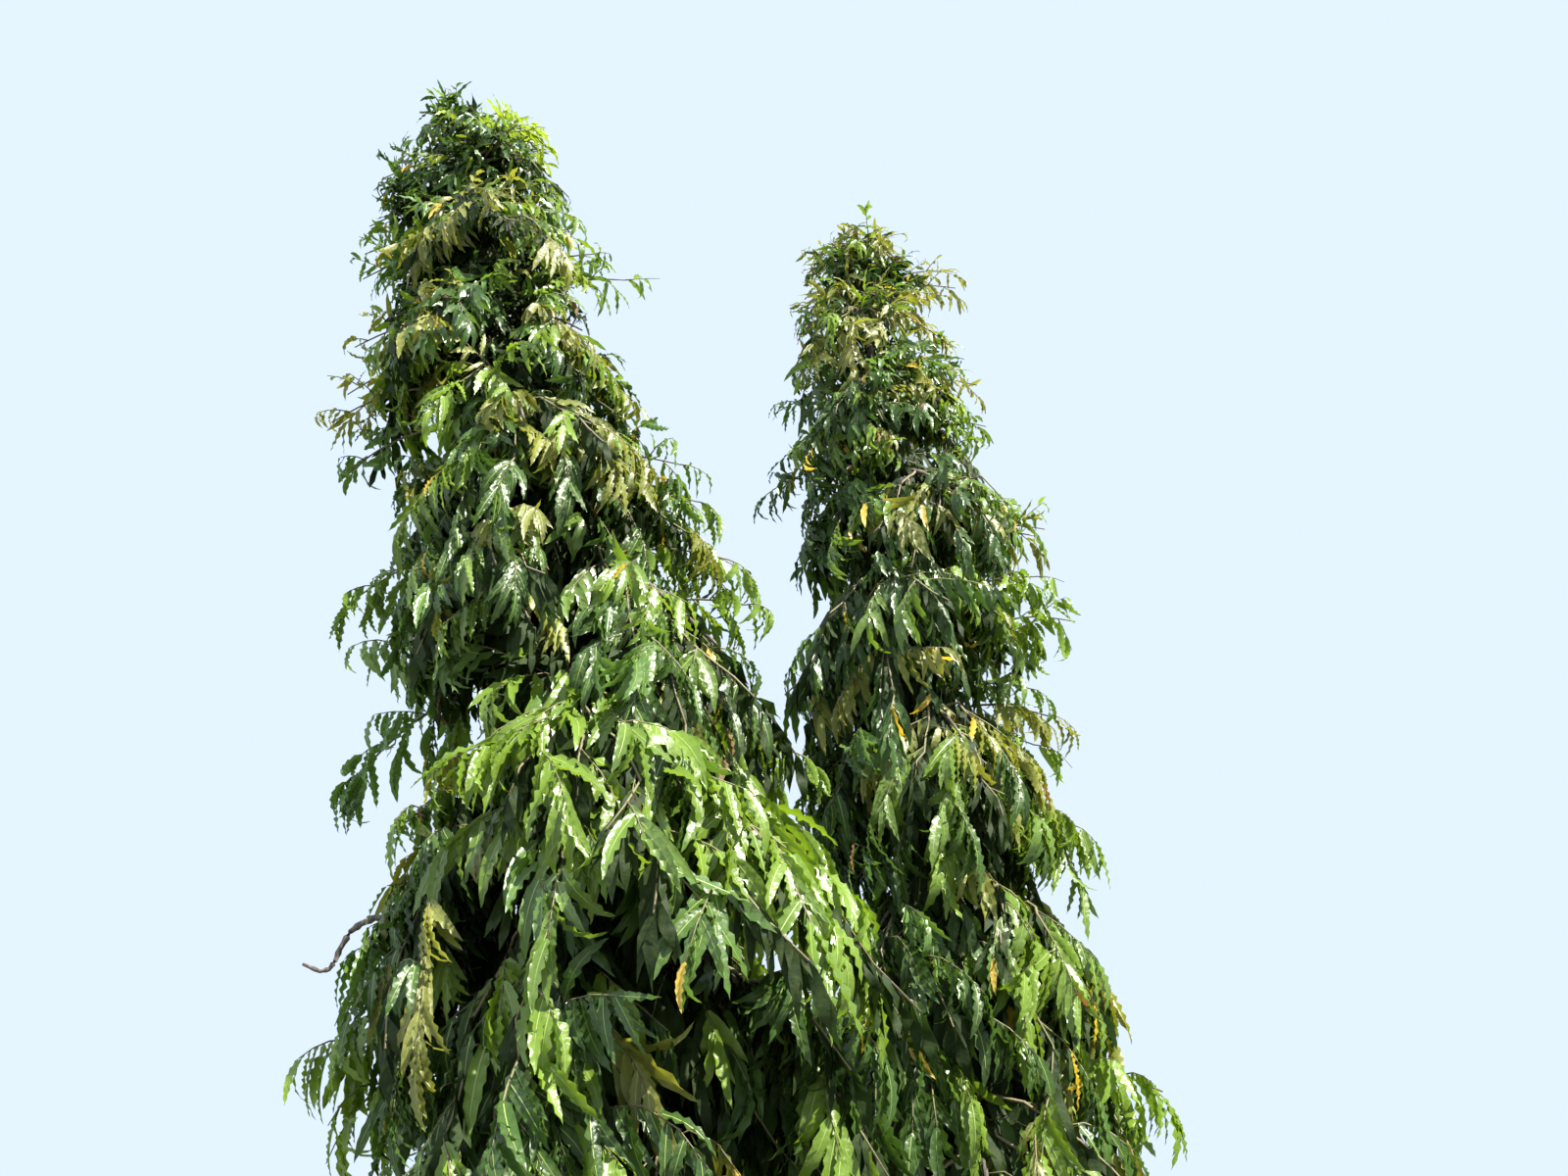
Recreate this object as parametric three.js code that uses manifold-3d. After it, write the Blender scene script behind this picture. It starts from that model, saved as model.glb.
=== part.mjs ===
// A mast tree with two stems from one root. Each stem carries a narrow, weeping crown: tiers of foliage
// that arch out from the wood and hang down over the tier below, like a skirt.
// Millimetres, +Z up. The origin is the middle of the flat cut under the trunk, at ground level.

import * as THREE from "three";
import { mergeVertices } from "three/addons/utils/BufferGeometryUtils.js";
import Module from "manifold-3d";

const wasm = await Module();
wasm.setup();
const { Manifold, Mesh: SolidMesh } = wasm;

// The gap between pieces that touch.
const GAP = 0.3;

// The trunk: round and flared at the ground, oval where it forks.
const FORK_HEIGHT = 750;
const FORK_DIRECTION = new THREE.Vector2(0.55, 0.83).normalize();
const TRUNK_RADIUS = 122;
const TRUNK_OVAL = { along: 158, across: 88 };
const FLARE = { width: 85, height: 170, ridges: 5, ridge: 0.22 };

// The two stems. foot is how far along the fork's direction a stem starts, spread and bow are how far it
// swings out above the fork and over what height, and lean is its sideways lean for each unit of height.
// tip is the height of its highest leaf, and top the height that its tiers are measured from. The crown reaches reachAtMetre one metre below the top and
// widens downwards by the power swell. firstTurn and tierTurn, in degrees, set where the lobes face.
const STEM_SIDES = 8;
const STEM_STATIONS = 11;
const STEM_RADIUS = { foot: 76, tip: 9 };
const STEMS = [
  {
    name: "near_stem",
    side: -1,
    foot: 78,
    spread: new THREE.Vector2(22, -317),
    bow: 1100,
    lean: new THREE.Vector2(-0.195, 0),
    top: 6940,
    tip: 6850,
    reachAtMetre: 430,
    swell: 0.3,
    firstTurn: -111,
    tierTurn: 67,
  },
  {
    name: "far_stem",
    side: 1,
    foot: 78,
    spread: new THREE.Vector2(428, 307),
    bow: 900,
    lean: new THREE.Vector2(0.01, 0),
    top: 6640,
    tip: 6640,
    reachAtMetre: 412,
    swell: 0.28,
    firstTurn: 20,
    tierTurn: 53,
  },
];

// The tiers of a stem's crown, from the top down, and the lobes round each.
const TIERS = 9;
const TIER_THICKNESS = { first: 420, more: 35 };
const LOBES_IN_TIER = [1, 2, 3, 3, 3, 3, 3, 3, 2];
const LOWEST_TIER = { apart: 52, half: 52 };

// How far foliage sinks below where its bough left the wood, at radius r: a slope that steepens as far as
// straight, and then stays.
const DROOP = { slope: 0.35, arch: 0.0019, straight: 400 };

// Lobes that reach further or less far than their tier, by stem, tier and place in the tier. near_stem_6_0
// is the great lobe that hangs out at the front.
const LONG_LOBES = {
  near_stem_0_0: 0.94,
  near_stem_1_0: 1.08,
  near_stem_1_1: 1.1,
  near_stem_2_0: 0.86,
  near_stem_2_2: 1.18,
  near_stem_3_1: 1.18,
  near_stem_3_2: 1.04,
  near_stem_4_0: 1.07,
  near_stem_4_2: 1.08,
  near_stem_5_0: 0.94,
  near_stem_5_1: 1.1,
  near_stem_6_0: 1.2,
  near_stem_6_2: 1.28,
  near_stem_7_0: 1.2,
  near_stem_7_1: 1.12,
  near_stem_7_2: 1.22,
  near_stem_8_0: 1.12,
  near_stem_8_1: 1.12,
  far_stem_0_0: 1.15,
  far_stem_1_0: 1.1,
  far_stem_1_1: 1.1,
  far_stem_2_1: 1.1,
  far_stem_3_0: 0.92,
  far_stem_3_1: 1.1,
  far_stem_4_0: 1.08,
  far_stem_4_1: 1.03,
  far_stem_5_0: 0.88,
  far_stem_5_1: 0.92,
  far_stem_6_0: 0.94,
  far_stem_6_2: 1.15,
  far_stem_7_0: 1.08,
};

// A lobe that reaches further than this hangs on a bough of its own.
const BOUGH_REACH = 630;
const BOUGH = { share: 0.32, thick: 0.036, thin: 0.024, sides: 6, stations: 4, level: 0.6 };

// Foliage. Shares are of a lobe's reach, thickness or width.
// room is the share of the way to the other stem's crown that a core may fill.
const CORE = {
  inner: 0.2,
  clear: 0.06,
  outer: 0.87,
  thick: 0.46,
  wide: 0.93,
  room: 0.94,
  square: 0.75,
  around: 8,
  rings: 4,
};
const TWIG = { start: 0.5, end: 0.9, radius: 9, sides: 3, stations: 1, spread: 0.86, apart: 175 };
const LEAVES_ON_TWIG = [0.7, 1];
const LEAVES_ON_CORE = 5;
const SMOOTHING = 1.5;
const LEAF = { short: 190, more: 0.2, widest: 0.42, width: 0.13, thick: 0.03, arch: 0.1 };
const LEAF_TRIES = 8;
const SPACE_MARGIN = 4;

const BARK = new THREE.MeshStandardMaterial({ color: 0x7d7466, roughness: 0.9, metalness: 0 });
const LEAF_GREENS = [0x47701f, 0x35591c, 0x5d8428, 0x3f6a24].map(
  (color) => new THREE.MeshStandardMaterial({ color, roughness: 0.4, metalness: 0 }),
);
const FRESH_GREEN = new THREE.MeshStandardMaterial({ color: 0x8fae2e, roughness: 0.4, metalness: 0 });

// A seeded draw of numbers from 0 to 1, the same each time.
function seededDraw(seed) {
  let state = seed;
  return () => {
    state = (state + 0x6d2b79f5) | 0;
    let t = Math.imul(state ^ (state >>> 15), 1 | state);
    t = (t + Math.imul(t ^ (t >>> 7), 61 | t)) ^ t;
    return ((t ^ (t >>> 14)) >>> 0) / 4294967296;
  };
}

// The middle of a stem at a height.
function stemCentre(stem, z) {
  const above = z - FORK_HEIGHT;
  const out = 1 - Math.exp(-Math.max(above, 0) / stem.bow);
  const foot = stem.side * stem.foot;
  return new THREE.Vector3(
    foot * FORK_DIRECTION.x + stem.spread.x * out + stem.lean.x * above,
    foot * FORK_DIRECTION.y + stem.spread.y * out + stem.lean.y * above,
    z,
  );
}

function droop(r) {
  const bent = Math.min(r, DROOP.straight);
  return DROOP.slope * bent + DROOP.arch * bent * bent + droopSlope(r) * (r - bent);
}

function droopSlope(r) {
  return DROOP.slope + 2 * DROOP.arch * Math.min(r, DROOP.straight);
}

// The height, at the wood, of a tier's upper bound.
function tierTop(stem, tier) {
  if (tier === 0) return stem.tip;
  return stem.top - tier * TIER_THICKNESS.first - (TIER_THICKNESS.more * tier * (tier - 1)) / 2;
}

function tierReach(stem, level) {
  const below = Math.max(stem.top - level, 0) / 1000;
  return stem.reachAtMetre * Math.pow(below, stem.swell);
}

// Where a point of the crown lies: level is the height at which its bough left the wood.
function place(stem, level, turn, r) {
  const z = level - droop(r);
  const p = stemCentre(stem, z);
  p.x += r * Math.cos(turn);
  p.y += r * Math.sin(turn);
  return p;
}

// The same the other way round: level, turn and radius of a point, seen from a stem.
function placeOf(stem, p) {
  const c = stemCentre(stem, p.z);
  const dx = p.x - c.x;
  const dy = p.y - c.y;
  const r = Math.hypot(dx, dy);
  return { level: p.z + droop(r), turn: Math.atan2(dy, dx), r };
}

function turnBetween(a, b) {
  return Math.abs(Math.atan2(Math.sin(a - b), Math.cos(a - b)));
}

// How far a lobe may reach before it meets the other stem's crown.
function roomTowards(stem, z, turn) {
  const other = STEMS.find((s) => s !== stem);
  const here = stemCentre(stem, z);
  const there = stemCentre(other, z);
  const facing = Math.cos(turn - Math.atan2(there.y - here.y, there.x - here.x));
  const apart = Math.hypot(there.x - here.x, there.y - here.y);
  return facing > 0.05 ? apart / (2 * facing) : Infinity;
}

// The lobes of a stem's crown, each with the bounds of its own space.
function lobesOf(stem) {
  const lobes = [];
  for (let tier = 0; tier < TIERS; tier += 1) {
    const high = tierTop(stem, tier);
    const low = tierTop(stem, tier + 1);
    const count = LOBES_IN_TIER[tier];
    const lowest = tier === TIERS - 1;
    for (let i = 0; i < count; i += 1) {
      const away = Math.atan2(stem.side * FORK_DIRECTION.y, stem.side * FORK_DIRECTION.x);
      const turn = lowest
        ? away + THREE.MathUtils.degToRad(LOWEST_TIER.apart * (2 * i - 1))
        : THREE.MathUtils.degToRad(stem.firstTurn + tier * stem.tierTurn + (360 * i) / count);
      const half = THREE.MathUtils.degToRad(lowest ? LOWEST_TIER.half : 180 / count);
      const name = `${stem.name}_${tier}_${i}`;
      const wanted = tierReach(stem, 0.35 * high + 0.65 * low) * (LONG_LOBES[name] ?? 1);
      const reach = Math.min(wanted, 0.97 * roomTowards(stem, 0.5 * (high + low) - droop(0.7 * wanted), turn));
      lobes.push({ name, stem, tier, high, low, turn, half, reach, whole: count === 1 });
    }
  }
  return lobes;
}

// Whether a point lies in a lobe's own space.
function inLobe(lobe, p) {
  const here = placeOf(lobe.stem, p);
  const other = placeOf(STEMS.find((s) => s !== lobe.stem), p);
  const slant = 1 + droopSlope(here.r);
  return (
    here.level < lobe.high - SPACE_MARGIN * slant + (lobe.tier ? 0 : 60) &&
    here.level > lobe.low + SPACE_MARGIN * slant &&
    here.r < lobe.reach * 1.03 &&
    (lobe.whole || turnBetween(here.turn, lobe.turn) < lobe.half - SPACE_MARGIN / here.r) &&
    here.r + 3 * SPACE_MARGIN < other.r
  );
}

// Moves every vertex of a geometry with a function of its old place.
function reshape(geometry, move) {
  const position = geometry.getAttribute("position");
  const at = new THREE.Vector3();
  for (let i = 0; i < position.count; i += 1) {
    at.fromBufferAttribute(position, i);
    const to = move(at);
    position.setXYZ(i, to.x, to.y, to.z);
  }
  return geometry;
}

function solidOf(geometry) {
  geometry.deleteAttribute("normal");
  geometry.deleteAttribute("uv");
  const merged = mergeVertices(geometry, 1e-3);
  return new Manifold(
    new SolidMesh({
      numProp: 3,
      vertProperties: new Float32Array(merged.getAttribute("position").array),
      triVerts: new Uint32Array(merged.index.array),
    }),
  );
}

// A tapering limb with flat ends: rings of so many sides round a path. across, where given, is the normal
// that every ring keeps.
function limb({ path, radius, sides, stations, across }) {
  const step = 1e-3;
  const sideways = new THREE.Vector3();
  const upward = new THREE.Vector3();
  return solidOf(
    reshape(new THREE.CylinderGeometry(1, 1, 1, sides, stations), (v) => {
      const t = v.y + 0.5;
      const along = across ?? path(Math.min(t + step, 1)).sub(path(Math.max(t - step, 0))).normalize();
      const steady = Math.abs(along.z) > 0.9 ? new THREE.Vector3(1, 0, 0) : new THREE.Vector3(0, 0, 1);
      sideways.crossVectors(steady, along).normalize();
      upward.crossVectors(sideways, along);
      const size = radius(t, Math.atan2(v.z, v.x));
      return path(t).addScaledVector(sideways, v.x * size).addScaledVector(upward, v.z * size);
    }),
  );
}

function trunkSolid() {
  const upright = new THREE.Vector3(0, 0, 1);
  const towardsFork = Math.atan2(FORK_DIRECTION.y, FORK_DIRECTION.x);
  return limb({
    path: (t) => new THREE.Vector3(0, 0, t * t * FORK_HEIGHT),
    radius: (t, angle) => {
      const z = t * t * FORK_HEIGHT;
      const flare = FLARE.width * Math.exp(-z / FLARE.height);
      const ridged = flare * (1 + FLARE.ridge * Math.cos(FLARE.ridges * angle));
      // The ring's first direction is the world's -Y and its second the world's -X.
      const fromFork = Math.atan2(-Math.cos(angle), -Math.sin(angle)) - towardsFork;
      const oval = Math.hypot(
        Math.cos(fromFork) / TRUNK_OVAL.along,
        Math.sin(fromFork) / TRUNK_OVAL.across,
      );
      const share = THREE.MathUtils.smoothstep(z, 0.3 * FORK_HEIGHT, FORK_HEIGHT);
      return THREE.MathUtils.lerp(TRUNK_RADIUS, 1 / oval, share) + ridged;
    },
    sides: 20,
    stations: 7,
    across: upright,
  });
}

function stemTip(stem) {
  return tierTop(stem, 1);
}

function stemSolid(stem, grow) {
  const foot = FORK_HEIGHT + GAP;
  const tip = stemTip(stem);
  return limb({
    path: (t) => stemCentre(stem, THREE.MathUtils.lerp(foot, tip, t)),
    radius: (t) => THREE.MathUtils.lerp(STEM_RADIUS.foot, STEM_RADIUS.tip, t) + grow,
    sides: STEM_SIDES,
    stations: STEM_STATIONS,
    across: new THREE.Vector3(0, 0, 1),
  });
}

// The line that a lobe hangs on, from the middle of the stem outwards. The top lobe's goes straight up.
function lobeLine(lobe, r) {
  if (lobe.whole) {
    return stemCentre(lobe.stem, stemTip(lobe.stem) + r);
  }
  const level = THREE.MathUtils.lerp(lobe.low, lobe.high, BOUGH.level);
  return place(lobe.stem, level, lobe.turn, r);
}

function hasBough(lobe) {
  return !lobe.whole && lobe.reach > BOUGH_REACH;
}

function lineRadius(lobe, r) {
  const share = Math.min(r / (BOUGH.share * lobe.reach), 1);
  return lobe.reach * THREE.MathUtils.lerp(BOUGH.thick, BOUGH.thin, share);
}

function boughSolid(lobe, grow) {
  const end = BOUGH.share * lobe.reach;
  return limb({
    path: (t) => lobeLine(lobe, t * end),
    radius: (t) => lineRadius(lobe, t * end) + grow,
    sides: BOUGH.sides,
    stations: BOUGH.stations,
  });
}

// The stem of a lobe's foliage, from the wood that it meets to well inside the core.
function lobeStem(lobe) {
  const start = hasBough(lobe) ? BOUGH.share * lobe.reach + GAP : 0;
  const from = lobe.whole ? GAP : start;
  const end = lobe.whole ? 0.6 * (lobe.high - lobe.low) : 0.7 * lobe.reach;
  const thick = lobe.whole ? STEM_RADIUS.tip : 0.9 * lineRadius(lobe, BOUGH.share * lobe.reach);
  return limb({
    path: (t) => lobeLine(lobe, THREE.MathUtils.lerp(from, end, t)),
    radius: (t) => THREE.MathUtils.lerp(thick, 0.6 * thick, t),
    sides: 4,
    stations: 1,
  });
}

// A point of a lobe from its shares: out runs from the wood to the reach, side from -1 to 1 across the
// lobe, and up from 0 at its lower bound to 1 at its upper one.
function inShares(lobe, out, side, up) {
  const level = THREE.MathUtils.lerp(lobe.low, lobe.high, up);
  return place(lobe.stem, level, lobe.turn + side * lobe.half, out * lobe.reach);
}

// A point of a core at radius r, drawn back where it would meet the other stem's crown.
function drawnBack(lobe, level, turn, r) {
  const room = CORE.room * roomTowards(lobe.stem, level - droop(r), turn);
  return place(lobe.stem, level, turn, Math.min(r, room));
}

// A point of the core, from a point of a sphere of radius 1.
function corePoint(lobe, v) {
  const square = (share) => Math.sign(share) * Math.pow(Math.abs(share), CORE.square);
  const level = THREE.MathUtils.lerp(lobe.low, lobe.high, 0.5 + CORE.thick * square(v.y));
  if (lobe.whole) {
    const r = CORE.outer * lobe.reach * square(Math.hypot(v.x, v.z));
    return drawnBack(lobe, level, Math.atan2(-v.z, v.x), r);
  }
  const inner = hasBough(lobe) ? BOUGH.share + CORE.clear : CORE.inner;
  const out = THREE.MathUtils.lerp(inner, CORE.outer, 0.5 + 0.5 * square(v.x));
  return drawnBack(lobe, level, lobe.turn - CORE.wide * square(v.z) * lobe.half, out * lobe.reach);
}

function coreSolid(lobe) {
  const ball = new THREE.SphereGeometry(1, CORE.around, CORE.rings);
  return solidOf(reshape(ball, (v) => corePoint(lobe, v)));
}

// A leaf, or the spray that it stands for: a thin blade of eight faces from root to tip, widest before its
// middle, arched a little, with its face towards facing.
function leafSolid(root, tip, facing) {
  const along = tip.clone().sub(root);
  const length = along.length();
  const side = new THREE.Vector3().crossVectors(along, facing).normalize();
  const out = new THREE.Vector3().crossVectors(side, along).normalize();
  const corner = (v) => {
    const share = v.y < -0.5 ? 0 : v.y > 0.5 ? 1 : LEAF.widest;
    const arch = LEAF.arch * length * (share > 0 && share < 1 ? 1 : 0);
    return root
      .clone()
      .addScaledVector(along, share)
      .addScaledVector(side, v.x * LEAF.width * length)
      .addScaledVector(out, arch + 0.5 * v.z * LEAF.thick * length);
  };
  const shape = reshape(new THREE.OctahedronGeometry(1, 0), corner);
  const corners = [
    [0, -1, 0],
    [0, 1, 0],
    [1, 0, 0],
    [-1, 0, 0],
    [0, 0, 1],
  ].map((v) => corner(new THREE.Vector3(...v)));
  return { shape, corners };
}

function twigSolid(from, to) {
  const sag = from.distanceTo(to) * 0.08;
  return {
    path: (t) => {
      const p = from.clone().lerp(to, t);
      p.z += 4 * sag * t * (1 - t);
      return p;
    },
    radius: (t) => THREE.MathUtils.lerp(TWIG.radius, 0.5 * TWIG.radius, t),
    sides: TWIG.sides,
    stations: TWIG.stations,
  };
}

// A leaf from root, dipping below the level and swung sideways, or null where it would leave the lobe's
// space or touch the wood.
function leafThatFits(lobe, wood, draw, root, swing) {
  const here = placeOf(lobe.stem, root);
  const share = here.r / lobe.reach;
  for (let i = 0; i < LEAF_TRIES; i += 1) {
    const length = (LEAF.short + LEAF.more * lobe.reach) * (1 - 0.06 * i) * (0.85 + 0.3 * draw());
    const dip = THREE.MathUtils.degToRad(THREE.MathUtils.lerp(20, 76, share) + 24 * (draw() - 0.5));
    const turn = here.turn + swing * (0.75 + 0.5 * draw());
    const ahead = new THREE.Vector3(Math.cos(turn), Math.sin(turn), 0);
    const up = new THREE.Vector3(0, 0, 1);
    const way = ahead.clone().multiplyScalar(Math.cos(dip)).addScaledVector(up, -Math.sin(dip));
    const facing = ahead.clone().multiplyScalar(Math.sin(dip)).addScaledVector(up, Math.cos(dip));
    const tip = root.clone().addScaledVector(way, length);
    const { shape, corners } = leafSolid(root, tip, facing);
    const middles = corners.slice(1).map((c) => c.clone().lerp(corners[1], 0.5));
    if (![...corners.slice(1), ...middles].every((c) => inLobe(lobe, c))) {
      continue;
    }
    const solid = solidOf(shape);
    if (wood.every((w) => solid.intersect(w).isEmpty())) {
      return solid;
    }
  }
  return null;
}

// One lobe of foliage: a stem, a core cut clear of the wood, twigs, and leaves on both.
function lobeSolid(lobe, seed, wood) {
  const draw = seededDraw(seed);
  const parts = [lobeStem(lobe), coreSolid(lobe)];
  const twigs = Math.max(3, Math.round(lobe.reach / TWIG.apart));
  for (let i = 0; i < twigs; i += 1) {
    const side = TWIG.spread * (((i + 0.5) / twigs) * 2 - 1) * (0.85 + 0.15 * draw());
    const up = 0.22 + 0.56 * ((i * 0.618 + draw() * 0.3) % 1);
    const out = TWIG.end - LEAF.width + 0.1 * draw();
    const from = lobe.whole ? lobeLine(lobe, 0.3 * (lobe.high - lobe.low)) : inShares(lobe, TWIG.start, 0, 0.5);
    const to = lobe.whole ? inShares(lobe, 0.62, 2 * side, up) : inShares(lobe, out, side, up);
    const twig = twigSolid(from, to);
    parts.push(limb(twig));
    LEAVES_ON_TWIG.forEach((t, k) => {
      const swing = t === 1 ? 0 : k % 2 ? 0.8 : -0.8;
      const leaf = leafThatFits(lobe, wood, draw, twig.path(Math.min(t, 0.97)), swing);
      if (leaf) {
        parts.push(leaf);
      }
    });
  }
  for (let i = 0; i < LEAVES_ON_CORE; i += 1) {
    const round = 2.4 * i + draw();
    const x = lobe.whole ? 0 : (i + 0.5) / LEAVES_ON_CORE;
    const y = Math.sin(round) * Math.sqrt(1 - x * x);
    const z = Math.cos(round) * Math.sqrt(1 - x * x);
    const root = corePoint(lobe, new THREE.Vector3(x, y, z).multiplyScalar(0.82));
    const leaf = leafThatFits(lobe, wood, draw, root, -0.5 * z);
    if (leaf) {
      parts.push(leaf);
    }
  }
  const joined = Manifold.union(parts).simplify(SMOOTHING);
  const clear = wood.reduce((solid, w) => solid.subtract(w), joined);
  return clear.decompose().sort((a, b) => b.volume() - a.volume())[0];
}

// The named mesh of a solid, with its vertices as they are.
function meshOf(name, solid, material) {
  const { numProp, numVert, vertProperties, triVerts } = solid.getMesh();
  const position = new Float32Array(numVert * 3);
  for (let i = 0; i < numVert; i += 1) {
    position.set(vertProperties.subarray(i * numProp, i * numProp + 3), i * 3);
  }
  const geometry = new THREE.BufferGeometry()
    .setAttribute("position", new THREE.BufferAttribute(position, 3))
    .setIndex(new THREE.BufferAttribute(new Uint32Array(triVerts), 1));
  geometry.computeVertexNormals();
  const mesh = new THREE.Mesh(geometry, material);
  mesh.name = name;
  return mesh;
}

function buildTree() {
  const tree = new THREE.Group();
  tree.add(meshOf("trunk", trunkSolid(), BARK));
  STEMS.forEach((stem, s) => {
    const stemPlain = stemSolid(stem, 0);
    const stemCut = stemSolid(stem, GAP);
    tree.add(meshOf(stem.name, stemPlain, BARK));
    lobesOf(stem).forEach((lobe, i) => {
      const wood = [stemCut];
      if (hasBough(lobe)) {
        tree.add(meshOf(lobe.name.replace("stem", "bough"), boughSolid(lobe, 0).subtract(stemCut), BARK));
        wood.push(boughSolid(lobe, GAP));
      }
      const material = lobe.tier === 1 && i === 1 && s === 0 ? FRESH_GREEN : LEAF_GREENS[i % LEAF_GREENS.length];
      tree.add(meshOf(lobe.name.replace("stem", "foliage"), lobeSolid(lobe, 100 * s + i + 1, wood), material));
    });
  });
  return tree;
}

export default buildTree();
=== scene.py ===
import math

import bpy
import numpy as np
from bpy.props import FloatProperty, FloatVectorProperty, IntProperty, PointerProperty
from mathutils import Matrix, Vector


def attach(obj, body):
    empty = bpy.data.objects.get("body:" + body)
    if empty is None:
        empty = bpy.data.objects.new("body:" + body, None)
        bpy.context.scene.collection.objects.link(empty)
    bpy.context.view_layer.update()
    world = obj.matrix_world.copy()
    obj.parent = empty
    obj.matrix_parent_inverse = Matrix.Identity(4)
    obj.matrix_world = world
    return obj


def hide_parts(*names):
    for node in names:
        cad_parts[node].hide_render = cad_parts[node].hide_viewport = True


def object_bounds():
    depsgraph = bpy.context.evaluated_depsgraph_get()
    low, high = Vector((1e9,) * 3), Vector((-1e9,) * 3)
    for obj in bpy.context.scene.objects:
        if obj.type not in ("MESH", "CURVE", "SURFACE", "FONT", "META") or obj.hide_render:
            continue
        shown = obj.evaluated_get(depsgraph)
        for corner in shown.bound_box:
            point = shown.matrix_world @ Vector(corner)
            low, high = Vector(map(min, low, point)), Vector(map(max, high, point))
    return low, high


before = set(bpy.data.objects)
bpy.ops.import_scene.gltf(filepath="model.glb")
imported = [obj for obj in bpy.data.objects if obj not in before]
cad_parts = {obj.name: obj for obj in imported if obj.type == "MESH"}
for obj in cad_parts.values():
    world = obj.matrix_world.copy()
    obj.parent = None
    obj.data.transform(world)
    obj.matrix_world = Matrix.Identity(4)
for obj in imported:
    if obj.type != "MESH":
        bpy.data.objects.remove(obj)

bl_info = {
    "name": "Mast tree",
    "version": (1, 0, 0),
    "blender": (4, 5, 0),
    "location": "View3D > Sidebar > Mast tree",
    "description": "A mast tree with two stems from one root, clothed in drooping tiers of wavy leaves",
    "category": "Add Mesh",
}

# Lengths are in metres. MARGIN is how far single leaves may stand out of the box of the solids.
CAD_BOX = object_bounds()
MARGIN = (0.07, 0.055, 0.1)
DOWN = np.array([0, 0, -1.0])

# The trunk: round and flared at the ground, oval where it forks. Its two arms reach up inside the stems.
FORK_HEIGHT = 0.75
FORK_DIRECTION = Vector((0.55, 0.83)).normalized()
TRUNK_RADIUS = 0.122
TRUNK_OVAL = {"along": 0.158, "across": 0.088, "from": 0.3}
FLARE = {"width": 0.085, "height": 0.17, "ridges": 5, "ridge": 0.22}
TRUNK_HEIGHTS = (0.0, 0.03, 0.07, 0.12, 0.18, 0.26, 0.36, 0.46, 0.56, 0.66, 0.73)
ARM = {"foot": 0.5, "top": 1.7, "overlap": 0.12}

# The two stems, as the solids have them: how far a stem starts from the middle of the fork, how far it
# swings out and over what height, its lean, the height of its highest leaf, the reach of its crown, how
# steeply its top falls to the right and how far below the tip it stays, between what heights the sky shows
# through, and which share of the inner leaves has fallen in single tiers.
STEM_RADIUS = {"foot": 0.076, "tip": 0.009}
STEMS = {
    "near": {
        "side": -1, "foot": 0.078, "spread": (0.022, -0.317), "bow": 1.1, "lean": (-0.195, 0.0),
        "top": 6.94, "tip": 6.85, "reach_at_metre": 0.43, "swell": 0.3, "first_turn": -111, "tier_turn": 67,
        "shoulder": 0.4, "crest": 0.1, "thin": (0, 0), "fallen": {},
    },
    "far": {
        "side": 1, "foot": 0.078, "spread": (0.428, 0.307), "bow": 0.9, "lean": (0.01, 0.0),
        "top": 6.64, "tip": 6.64, "reach_at_metre": 0.412, "swell": 0.28, "first_turn": 20, "tier_turn": 53,
        "shoulder": 0.0, "crest": 0.15, "thin": (5.0, 6.5), "fallen": {1: 0.7, 2: 0.6, 3: 0.6},
    },
}

# The tiers of a crown, how foliage droops further out, and how far each lobe of a tier reaches, from the top
# tier down, against the usual reach at its height.
TIER_THICKNESS = {"first": 0.42, "more": 0.035}
LOWEST_TIER = {"apart": 52, "half": 52}
DROOP = {"slope": 0.35, "arch": 1.9, "straight": 0.4}
REACHES = {
    "near": (
        (0.72,), (1.08, 1.1), (0.81, 1, 1.18), (1, 1.18, 0.92), (1, 1, 1.04), (0.9, 1.1, 1), (1.2, 1, 1.23),
        (1.2, 1.12, 1.22), (1.12, 1.12),
    ),
    "far": (
        (1.15,), (1.1, 1.1), (1, 1.1, 1), (0.92, 1.1, 1), (1.08, 0.84, 1), (0.85, 0.86, 1), (0.86, 1, 1.15),
        (1.08, 1, 1), (1, 1),
    ),
}

# How single lobes, by stem, tier and place in the tier, differ from the rest: which share of their width and
# height bears branchlets, how far these hang against others at their height, the size of their leaves, their
# shades, and how many leaves turn gold.
HABITS = {
    "near_0_0": {"shades": "shaded_top"},
    "near_1_0": {"shades": "lime_tuft"},
    "near_1_1": {"shades": "shaded_top"},
    "near_2_0": {"shades": "olive_tier"},
    "near_2_2": {"shades": "olive_tier"},
    "near_3_1": {"height": (0.5, 0.95), "shades": "olive_tier"},
    "near_3_2": {"height": (-0.1, 0.45), "shades": "olive_tier"},
    "near_4_0": {"height": (-0.1, 0.35), "leaves": 0.88},
    "near_4_1": {"limp": 0.7, "shades": "olive_tier"},
    "near_5_0": {"height": (0.1, 0.95), "limp": 0.8, "leaves": 0.85},
    "near_5_1": {"height": (-0.2, 0.5), "limp": 0.7},
    "near_6_0": {"height": (0.45, 0.95), "limp": 0.35, "shades": "front_bough"},
    "near_6_2": {"height": (0.0, 0.6), "leaves": 0.78},
    "near_7_0": {"width": (-0.4, 0.93), "shades": "under_bough", "dying": 0},
    "near_7_2": {"width": (-0.93, 0.42), "limp": 0.6, "shades": "under_bough", "dying": 0},
    "far_0_0": {"shades": "olive_tier"},
    "far_1_1": {"shades": "olive_tier"},
    "far_3_0": {"height": (0.35, 0.95)},
    "far_4_1": {"height": (0.3, 0.95)},
    "far_5_0": {"height": (0.0, 0.5)},
    "far_5_1": {"height": (0.0, 0.65)},
    "far_6_0": {"height": (0.0, 0.7)},
}

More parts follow.
